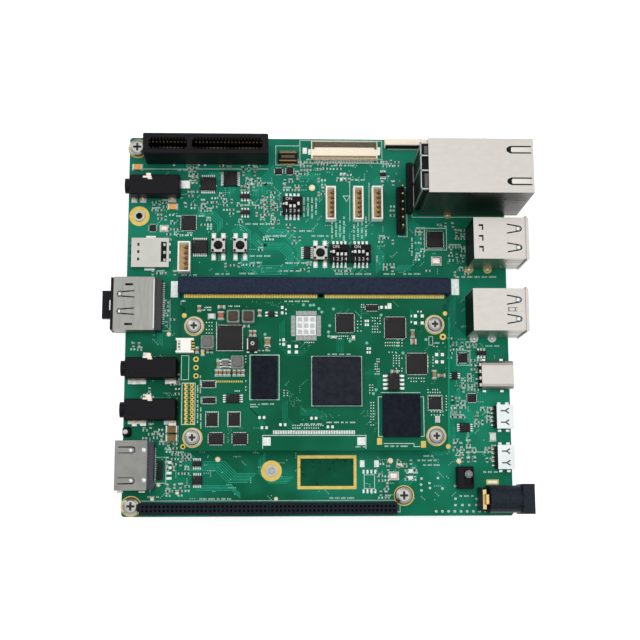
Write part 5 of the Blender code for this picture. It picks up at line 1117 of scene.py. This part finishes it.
steel = finish_of("screw_steel", (0.34, 0.335, 0.31), (0.43, 0.42, 0.39), 0.24, 1.0, scale=60, rough_to=0.32)
brass = finish_of("leg_brass", (0.60, 0.42, 0.16), (0.72, 0.52, 0.22), 0.28, 1.0, scale=60, rough_to=0.4)
package_black = finish_of("package_black", (0.012, 0.015, 0.022), (0.022, 0.026, 0.034), 0.4, scale=70,
                          detail=8.0, bump=0.12, rough_to=0.5, shine=0.05)
memory_black = finish_of("memory_black", (0.006, 0.008, 0.015), (0.012, 0.015, 0.023), 0.4, scale=70,
                         detail=8.0, bump=0.12, rough_to=0.5, shine=0.05)
shade = finish_of("shell_shade", (0.11, 0.108, 0.10), (0.1375, 0.135, 0.125), 0.45, 1.0)
hdmi_shell = finish_of("hdmi_shell", (0.19, 0.19, 0.178), (0.24, 0.24, 0.225), 0.32, 1.0, scale=30,
                       detail=8.0, bump=0.08)
strip_black = finish_of("strip_black", (0.004, 0.007, 0.013), (0.010, 0.014, 0.022), 0.38, scale=140,
                        bump=0.15, shine=0.1)
jack_black = finish_of("jack_black", (0.013, 0.018, 0.026), (0.021, 0.028, 0.038), 0.34, scale=140,
                       bump=0.15, shine=0.08)


def dress(finish, *names):
    for name in names:
        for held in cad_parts[name].material_slots:
            held.material = finish


def numbered(stem, count):
    return ["%s_%d" % (stem, k + 1) for k in range(count)]


def two_tone(main, other, axis, at, below=False):
    """The main finish, and the other one's colour beyond a plane across an axis."""
    mat = main.copy()
    mat.name = main.name + "_" + other.name
    tree = mat.node_tree
    shader, far = tree.nodes["Principled BSDF"], other.node_tree.nodes["Principled BSDF"]
    apart = added(tree, "SeparateXYZ", Vector=added(tree, "TexCoord").outputs["Object"])
    plane = (at + AT["XYZ".index(axis)]) * MM
    beyond = maths(tree, "LESS_THAN" if below else "GREATER_THAN", apart.outputs[axis], plane)
    ramp = next(n for n in other.node_tree.nodes if n.type == "VALTORGB").color_ramp
    near_colour = shader.inputs["Base Color"].links[0].from_socket
    metals = [node.inputs["Metallic"].default_value for node in (shader, far)]
    metal = feed(tree, tree.nodes.new("ShaderNodeMix"), {"Factor": beyond, "A": metals[0], "B": metals[1]})
    feed(tree, shader, {"Base Color": blend(tree, beyond, near_colour, ramp.elements[0].color),
                        "Metallic": metal.outputs["Result"]})
    return mat


dress(navy, "module_connector")
dress(strip_black, *numbered("expansion_header", 2))
dress(package_black, "processor")
dress(memory_black, "memory_chip", "storage_chip")
dress(shell, "usb_c_port")
# The network shell's south wall and the USB shells' west walls take the dark shell_shade colour: painted
# shade, for the shadowed board that these walls reflect.
dress(two_tone(shell, shade, "Y", 34.94, below=True), "ethernet_shell")
dress(two_tone(shell, shade, "X", 47.32, below=True), "usb2_shell")
dress(two_tone(shell, shade, "X", 46.62, below=True), "usb3_shell")
dress(bright_shell, *numbered("micro_usb_port", 2))
dress(two_tone(warm_shell, black_plastic, "X", -50.45), "displayport_shell")
dress(two_tone(hdmi_shell, navy, "X", -51.85), "hdmi_port")
dress(two_tone(black_plastic, teal_plastic, "X", 52.3), "usb3_housing")
dress(cover, "sim_socket")
dress(jack_black, "dc_jack")
dress(black_plastic, "ethernet_housing", "usb2_housing", "pcie_slot", "debug_header", "power_switch")
dress(black_plastic, "displayport_dust_cap", *numbered("audio_jack", 3))
dress(black_plastic, *numbered("dip_switch", 3), *numbered("reset_button", 3))
dress(cream, "display_connector")
dress(grey_plastic, "power_switch_lever")
for bank in numbered("dip_slider", 3):
    dress(white_plastic, *numbered(bank, 4))
dress(steel, *numbered("module_screw", 4), *numbered("carrier_screw", 4))
dress(brass, *numbered("leg", 4))

# Cross recesses of the eight screws: the dark bottom of each cross, which the
# light from above doesn't reach.
recess_dark = finish_of("recess_dark", (0.03, 0.028, 0.026), (0.06, 0.056, 0.05), 0.5, 0.6, scale=200)
RECESS_W = 0.6
# The screws, the height that their heads sit at, a head's height and half a cross.
SCREW_CROSSES = [(MODULE_SCREWS, MOD_TOP + 0.15, 1.4, 0.78), (CARRIER_SCREWS, TOP + 0.15, 1.9, 0.95)]
crosses = Lot("screw_recesses", "screw_steel", level=0.0)
for places, seat, high, arm in SCREW_CROSSES:
    for x, y in places:
        crosses.box(x, y, 2 * arm, RECESS_W, seat + high * 0.3, seat + high * 0.5, recess_dark)
        crosses.box(x, y, RECESS_W, 2 * arm, seat + high * 0.3, seat + high * 0.52, recess_dark)
crosses.make()

# The card slot: a long black moulding with two rows of sprung bronze contacts
# in its recesses, darkened with painted shade, and bright solder pegs along its foot.
recess_shaded_bronze = finish_of("contact_bronze_painted_shade", (0.12, 0.08, 0.03), (0.2, 0.14, 0.06), 0.4, 1.0, scale=200)
SLOT_X, SLOT_Y = -35.1, 54.65
SLOT_KEY_X, SLOT_KEY_ROOM = SLOT_X - 5.0, 1.1
CONTACT_LOW, CONTACT_HIGH = 8.05, 9.65
PEG_COLUMNS, PEG_ROW = (174, 199, 205, 223, 249, 254), 165
fingers = Lot("card_slot_contacts", "nickel_shell")
for x in run(SLOT_X - 17.6, 1.12, 32):
    if abs(x - SLOT_KEY_X) >= SLOT_KEY_ROOM:
        for s in (-1, 1):
            fingers.bar(x, SLOT_Y, s * 0.75, s * 1.1, 0.4, CONTACT_LOW, CONTACT_HIGH, recess_shaded_bronze)
for px in PEG_COLUMNS:
    fingers.round(*fingers.at(px, PEG_ROW), 0, 0.3, 0.4, solder, steps=14, dome=0.2)
fingers.make()

# The display connector: cream shroud with a brown latch bar lifted behind it,
# a row of fine leads along its front and a tinned ear at each end.
DX, DY = 8.65, 55.7
ear = Lot("display_connector_metal", "nickel_shell")
for x in run(DX - 9.4, 18.8 / 37, 38):
    ear.bar(x, DY, -3.75, -2.75, 0.26, 0.02, 0.22, tin)
latch = Lot("display_connector_latch", "black_plastic")
latch.slope(DX, DY + 1.675, 19.2, 1.85, 2.3, 2.75, brown_latch, edge=0.12, draft=0.02)
latch.slope(DX, DY - 2.325, 20.4, 0.75, 2.3, 2.62, floor_tan, edge=0.1, draft=0.02)
for s in (-1, 1):
    ear.bar(DX, DY - 0.1, s * 10.5, s * 11.6, 2.0, 0.02, 0.35, tin, edge=0.06, north=False)
    latch.bar(DX, DY + 1.4, s * 9.6, s * 10.3, 2.4, 2.3, 2.8, brown_latch, edge=0.1, north=False)
ear.make()
latch.make()

# Long headers: a sprung contact deep in every square hole, pressed from thin
# bronze and dark with the shadow of the hole.
STRIP_PITCH, STRIP_LONG = 1.27, 39.05
STRIP_WEST, STRIP_Y, STRIP_TOP = -53.065, -57.6, 6.1
holes = Lot("header_contacts", "nickel_shell", level=STRIP_TOP)
for west in run(STRIP_WEST, STRIP_LONG, 2):
    for x in run(west, STRIP_PITCH, 30):
        for y in run(STRIP_Y - STRIP_PITCH / 2, STRIP_PITCH, 2):
            holes.box(x, y, 0.4, 0.4, -2.9, -2.3, hole_shade)
holes.make()

# Debug header: the plating of its six square pins, which are driven through
# the black base; gold on the part that a plug slides over.
PIN_X, PIN_Y, PIN_PITCH, PIN_W = 26.5, 35.95, 2.54, 0.68
pins = Lot("debug_pins", "nickel_shell")
for y in run(PIN_Y - 2.5 * PIN_PITCH, PIN_PITCH, 6):
    pins.box(PIN_X, y, PIN_W, PIN_W, 2.5, 8.53, gold, edge=0.12)
pins.make()

# Slide-switch caps: white printed numerals, the word for on, and the tinned
# gull-wing leads with the pads that they stand on.
SWITCH_BANKS = [(-7.95, 37.45), (6.95, 21.9), (13.75, 21.9)]
SWITCH_PITCH, SWITCH_PRINT = 1.27, 2.51
# A lead's pieces: its pad, the foot, the drop and the shoulder.
SWITCH_LEAD = [(3.4, 4.35, 0.72, 0.0, 0.06, solder), (3.24, 4.02, 0.5, 0.1, 0.38, tin),
               (3.23, 3.48, 0.5, 0.38, 1.08, tin), (2.8, 3.48, 0.5, 1.08, 1.33, tin)]


def letters(lot, text, x, y, z, height, finish):
    curve = bpy.data.curves.new("letters", "FONT")
    curve.body = text
    curve.size = height * 1.42
    curve.align_x, curve.align_y = "CENTER", "CENTER"
    curve.extrude = 0.008
    curve.resolution_u = 3
    written = bpy.data.objects.new("letters", curve)
    scene.collection.objects.link(written)
    me = bpy.data.meshes.new_from_object(written)
    base, m = len(lot.points), lot.mark(finish)
    place = Vector((x, y, z + lot.level))
    lot.points += [tuple((v.co + place) * MM) for v in me.vertices]
    for p in me.polygons:
        lot.faces.append(tuple(base + i for i in p.vertices))
        lot.marks.append(m)
        lot.smooth.append(False)
    bpy.data.objects.remove(written)
    bpy.data.meshes.remove(me)
    bpy.data.curves.remove(curve)


marks = Lot("switch_ink", "white_plastic")
for cx, cy in SWITCH_BANKS:
    letters(marks, "ON", cx - 1.15, cy + 2.0, SWITCH_PRINT, 0.95, ceramic)
    marks.round(cx - 2.75, cy + 0.4, 2.5, 2.52, 0.3, ceramic, steps=14)
    for k, x in enumerate(run(cx - 1.5 * SWITCH_PITCH, SWITCH_PITCH, 4)):
        letters(marks, str(k + 1), x, cy - 1.95, SWITCH_PRINT, 1.05, ceramic)
        for s in (-1, 1):
            for near, far, wide, low, high, skin in SWITCH_LEAD:
                marks.bar(x, cy, s * near, s * far, wide, low, high, skin)
marks.make()

# Audio jacks: tinned tabs soldered beside each black barrel and the sprung
# contact that shows through its slots.
spring_pale = finish_of("spring_pale", (0.66, 0.56, 0.44), (0.78, 0.70, 0.58), 0.3, 0.9, scale=200)
JACK_ROWS = (0.0, 180.3, 221.8)                           # pixels down the picture from the first jack
TAB_SPREAD = 1.008
JACK_SPRINGS = [(148.6, 174.2, 1.5, 1.0, 5.3), (147.2, 176.6, 2.8, 0.7, 5.35), (149.8, 178.3, 1.5, 0.5, 5.3)]
JACK_TABS = [(134.5, 199.4, 1.6, 2.1), (143.2, 199.2, 1.9, 2.1), (172.4, 199, 2.4, 2.0)]
JACK_LAND = (185.5, 184.6)
jacks = Lot("audio_jack_metal", "nickel_shell")
for down in JACK_ROWS:
    for px, py, w, d, z in JACK_SPRINGS:
        jacks.box(*jacks.at(px, py + down, z), w, d, z - 0.35, z, spring_pale, edge=0.08)
    for px, py, w, d in JACK_TABS:
        x, y = jacks.at(px, py + down * TAB_SPREAD)
        jacks.box(x, y, w, d, 0, 0.25, tin, edge=0.06)
        jacks.bar(x, y, -0.1, d * 0.6, w * 0.4, 0.2, 1.4, brass, edge=0.05)
jacks.box(*jacks.at(*JACK_LAND), 2.9, 2.6, 0, 0.2, tin, edge=0.06)
jacks.make()

# Network port: the pressed frame behind the shell with its window plates in
# painted shade, a black block along its foot, two brass pegs, and two sprung
# tongues on its lid, each with a black disc of painted shade at its end.
frame_steel = finish_of("frame_steel", (0.36, 0.40, 0.39), (0.44, 0.48, 0.47), 0.34, 1.0, scale=60)
spring_steel = finish_of("spring_steel", (0.50, 0.485, 0.455), (0.58, 0.565, 0.54), 0.3, 1.0, scale=34)
BACK_X, PORT_SOUTH, PORT_NORTH = 32.9, 34.925, 51.675
PORT_MID, FRAME_TOP = (PORT_SOUTH + PORT_NORTH) / 2 + 0.9, 26.4
PORT_PEGS = [(469.6, 204), (484.9, 205)]
back = Lot("network_back_frame", "nickel_shell")


def behind(x0, x1, inset, z0, z1, finish, edge=0.0):
    """A layer of the frame across the port's back, x counted from the shell."""
    back.span(BACK_X + x0, BACK_X + x1, PORT_SOUTH + inset, PORT_NORTH - inset, z0, z1, finish, edge)


behind(-2.3, -0.1, 1.4, 1.0, FRAME_TOP - 1.2, black_plastic, edge=0.1)
behind(-2.9, -2.5, 1.0, FRAME_TOP - 1.3, FRAME_TOP - 0.2, frame_steel, edge=0.1)
behind(-2.5, -2.3, 1.0, 2.0, 3.4, frame_steel)
behind(-4.4, -2.6, 0.2, 0.05, 3.0, black_plastic, edge=0.15)
for y in (PORT_SOUTH + 1.3, PORT_MID - 2.3, PORT_MID + 2.3, PORT_NORTH - 1.3):
    back.bar(BACK_X, y, -2.9, 0.1, 0.56, FRAME_TOP - 1.3, FRAME_TOP - 0.2, frame_steel, edge=0.1, north=False)
# Window plates of the frame in painted shade.
for y0, y1 in ((PORT_SOUTH + 1.9, PORT_MID - 3.0), (PORT_MID + 3.0, PORT_NORTH - 1.9)):
    back.span(BACK_X - 1.7, BACK_X - 0.2, y0, y1, FRAME_TOP - 1.2, FRAME_TOP - 0.9, shade, edge=0.1)
for y in (PORT_SOUTH + 1.2, PORT_MID, PORT_NORTH - 1.2):
    back.bar(BACK_X, y, -2.5, -2.3, 0.9, 1.0, FRAME_TOP - 1.3, frame_steel, north=False)
for px, py in PORT_PEGS:
    back.round(*back.at(px, py), 0, 0.4, 0.7, brass, steps=18, dome=0.3)
# A black disc of painted shade where the lid is cut round each tongue's end.
for y in run(38.4, 9.8, 2):
    back.round(56.75, y, 26.9, 27.01, 0.95, black_plastic, steps=20)
    back.span(57.2, 62.6, y - 0.6, y + 0.6, 26.9, 27.02, spring_steel)
back.make()

# Stacked USB sockets: three nickel tongues that show in the windows of one
# lid, pressed down from the metal below it.  The other lid has them pressed
# flush, so that only a hairline seam is left.
SUNK_WEST, SUNK_MID = 47.3, 23.8
FLUSH_WEST, FLUSH_MID = 46.6, 1.65
PROUD = 0.02
tongues = Lot("usb_lid_tongues", "nickel_shell", level=TOP + 15.6)
for y in run(SUNK_MID - 3.4, 3.4, 3):
    tongues.span(SUNK_WEST + 1.62, SUNK_WEST + 2.72, y - 0.88, y + 0.5, -1.0, -0.45, shell, edge=0.08)
for y in run(FLUSH_MID - 3.4, 3.4, 3):
    tongues.bar(FLUSH_WEST, y, 1.61, 2.99, 1.78, -0.5, 0, shell, north=False)
# Near each mouth, a bright spring in a dark gap of painted shade.
for west, middle in ((SUNK_WEST, SUNK_MID), (FLUSH_WEST, FLUSH_MID)):
    for y in (middle - 2.95, middle + 2.95):
        tongues.bar(west, y, 13.0, 14.3, 1.5, -0.1, PROUD, shade, north=False)
        tongues.bar(west, y, 13.2, 14.15, 1.0, -0.1, 0.05, bright_shell, edge=0.03, north=False)
for y in (FLUSH_MID - 2.95, FLUSH_MID + 2.95):
    tongues.bar(FLUSH_WEST, y, 13.0, 15.2, 3.5, -0.7, -0.6, teal_plastic, north=False)
# Dark marks of painted shade in the slots of the flush lid.
for x in (FLUSH_WEST + 10.775, FLUSH_WEST + 12.775):
    tongues.box(x, FLUSH_MID, 0.35, 1.2, -0.1, PROUD, shade)
for y in (FLUSH_MID - 0.525, FLUSH_MID + 0.525):
    tongues.bar(FLUSH_WEST, y, 10.6, 13.6, 0.15, -0.1, PROUD, shade, north=False)
tongues.make()

# Type-C and micro sockets: the black insulator that shows behind each shell,
# a dark plate of painted shade under the forked slots of a micro lid, each socket's
# row of solder tails, and the shell's own feet on both sides.
TYPE_C_TAILS, MICRO_TAILS = 4, 5
# West face, middle, width and height of each, its tails and its farther feet.
SMALL_SOCKETS = [(50.9, -16.75, 7.9, 2.5, TYPE_C_TAILS, 6.6), (55.3, -29.75, 6.6, 2.0, MICRO_TAILS, 3.6),
                 (55.3, -42.2, 6.6, 2.0, MICRO_TAILS, 3.6)]
tails = Lot("small_usb_tails", "nickel_shell")
for west, middle, wide, high, ways, far_foot in SMALL_SOCKETS:
    tails.bar(west, middle, -0.75, -0.02, wide, 0.05, high, black_plastic, edge=0.1, north=False)
    for y in run(middle - (wide - 1.6) / 2, (wide - 1.6) / (ways - 1), ways):
        tails.bar(west, y, -1.5, -0.7, 0.4, 0, 0.25, tin, north=False)
        if ways == TYPE_C_TAILS:
            tails.bar(west, y, -0.8, -0.02, 1.1, high, high + 0.3, shell, edge=0.1, north=False)
    foot_near, foot_far = wide / 2 + 0.5, wide / 2 + 1.35
    for s in (-1, 1):
        # A dark plate of painted shade under the slots of a micro lid.
        if ways == MICRO_TAILS:
            tails.bar(west, middle + s * 1.78, 1.15, 4.0, 2.1, 2.05, 2.15, shade, north=False)
        for x in (west + 1.1, west + far_foot):
            tails.bar(x, middle, s * foot_near, s * foot_far, 1.2, 0, 0.35, bright_shell, edge=0.08)
tails.make()

# Power jack: brass centre blade behind the barrel, folded from sheet, and the
# gold land in front of it where a second tab can be soldered.
BLADE_X, BLADE_Y = 50.3, -55.1
POWER_LAND = (492.5, 482)
blade = Lot("power_jack_metal", "nickel_shell")
blade.bar(BLADE_X, BLADE_Y, -0.9, 0.5, 6.0, 0.3, 6.5, brass, edge=0.15, north=False)
blade.bar(BLADE_X, BLADE_Y, -0.2, 0.9, 3.0, 3.0, 8.6, brass, edge=0.15, north=False)
blade.pad(*POWER_LAND, 3.8, 1.5, gold, 0.06)
blade.pad(*POWER_LAND, 3.0, 0.76, tin, 0.09)
blade.make()

# Card reader: dark contact block in the window of its cover, three pale
# contact springs on it, and the solder feet on both sides.
slot_brown = finish_of("slot_brown", (0.10, 0.045, 0.03), (0.16, 0.08, 0.05), 0.5, scale=200)
READER_X, READER_Y = -52.7, 22.05
READER_ROWS, READER_FEET, READER_SPRING = (244.5, 252.4, 260.1), (131.6, 169.4), 164.4
reader = Lot("card_reader_metal", "nickel_shell")
for y in run(READER_Y - 2.15, 2.35, 3):
    reader.bar(READER_X, y, -4.0, -3.4, 0.88, 0.62, 0.95, slot_brown, north=False)
    reader.bar(READER_X, y, -6.35, -5.95, 1.0, 0.05, 1.1, black_plastic, north=False)
reader.bar(READER_X, READER_Y + 0.2, 3.4, 5.1, 6.4, 0.02, 0.35, black_plastic, north=False)
for py in READER_ROWS:
    for px in READER_FEET:
        reader.box(*reader.at(px, py), 0.9, 1.0, 0, 0.3, tin, edge=0.06)
    x, y = reader.at(READER_SPRING, py, 0.5)
    reader.bar(x, y, -0.35, 0.4, 0.9, 0.3, 0.6, ceramic, edge=0.08, north=False)
reader.make()

# Display port and media port: tinned rear lugs and the pin rows behind the
# black insert; a painted highlight along the display port's east lip, and two
# dark marks of painted shade at its west end, a small bright piece in each.
DISPLAY_TAILS, MEDIA_TAILS = (163, 303.5), (154.6, 465)
MEDIA_LUGS = [
    (130.6, 450.4, 0.62), (143.8, 450.2, 0.75), (130.6, 480.8, 0.62), (143.8, 480.4, 0.75)]
SHELL_LUGS = [
    (134, 332), (146, 332), (120, 492), (142, 492)]
MEDIA_TAIL_X, MEDIA_TAIL_LOW, MEDIA_TAIL_HIGH, MEDIA_TOP = -51.0, 4.65, 4.79, 5.75
DP_WEST, DP_EDGE, DP_TOP = -61.8, -50.5, 7.05
lugs = Lot("display_port_leads", "nickel_shell")
x, y = lugs.at(*DISPLAY_TAILS)
for c in run(y + 6.4, -12.8 / 19, 20):
    lugs.bar(x, c, -0.7, 0.5, 0.32, 0, 0.2, tin, north=False)
x, y = lugs.at(*MEDIA_TAILS)
for c in run(y + 5.0, -10.0 / 18, 19):
    lugs.bar(x, c, -0.6, 0.4, 0.28, 0, 0.2, tin, north=False)
for c in run(y + 4.6, -9.2 / 9, 10):
    for aside in (-0.45, 0.35):
        x, y = MEDIA_TAIL_X + aside, c + aside * 0.5
        lugs.box(x, y, 0.4, 0.34, MEDIA_TAIL_LOW, MEDIA_TAIL_HIGH, slot_brown)
for px, py, r in MEDIA_LUGS:
    x, y = lugs.at(px, py, MEDIA_TOP)
    lugs.round(x, y, MEDIA_TOP - 0.1, MEDIA_TOP + 0.14, r, bright_shell, steps=20, dome=0.12)
for px, py in SHELL_LUGS:
    lugs.box(*lugs.at(px, py), 2.0, 0.6, 0, 0.5, tin, edge=0.08)
# A bright strip along the display port's east lip: a painted highlight.
lugs.span(DP_EDGE - 0.3, DP_EDGE, -3.0, 12.4, DP_TOP - 0.1, DP_TOP + 0.02, bright_shell)
# Two dark marks of painted shade at the display port's west end, each with a small bright piece.
for y in (2.3, 7.7):
    lugs.bar(DP_WEST, y, 0.0, 1.2, 1.9, DP_TOP - 0.1, DP_TOP + 0.015, shade, north=False)
    lugs.bar(DP_WEST, y, 0.3, 1.0, 0.9, DP_TOP - 0.1, DP_TOP + 0.05, bright_shell, edge=0.03, north=False)
lugs.make()
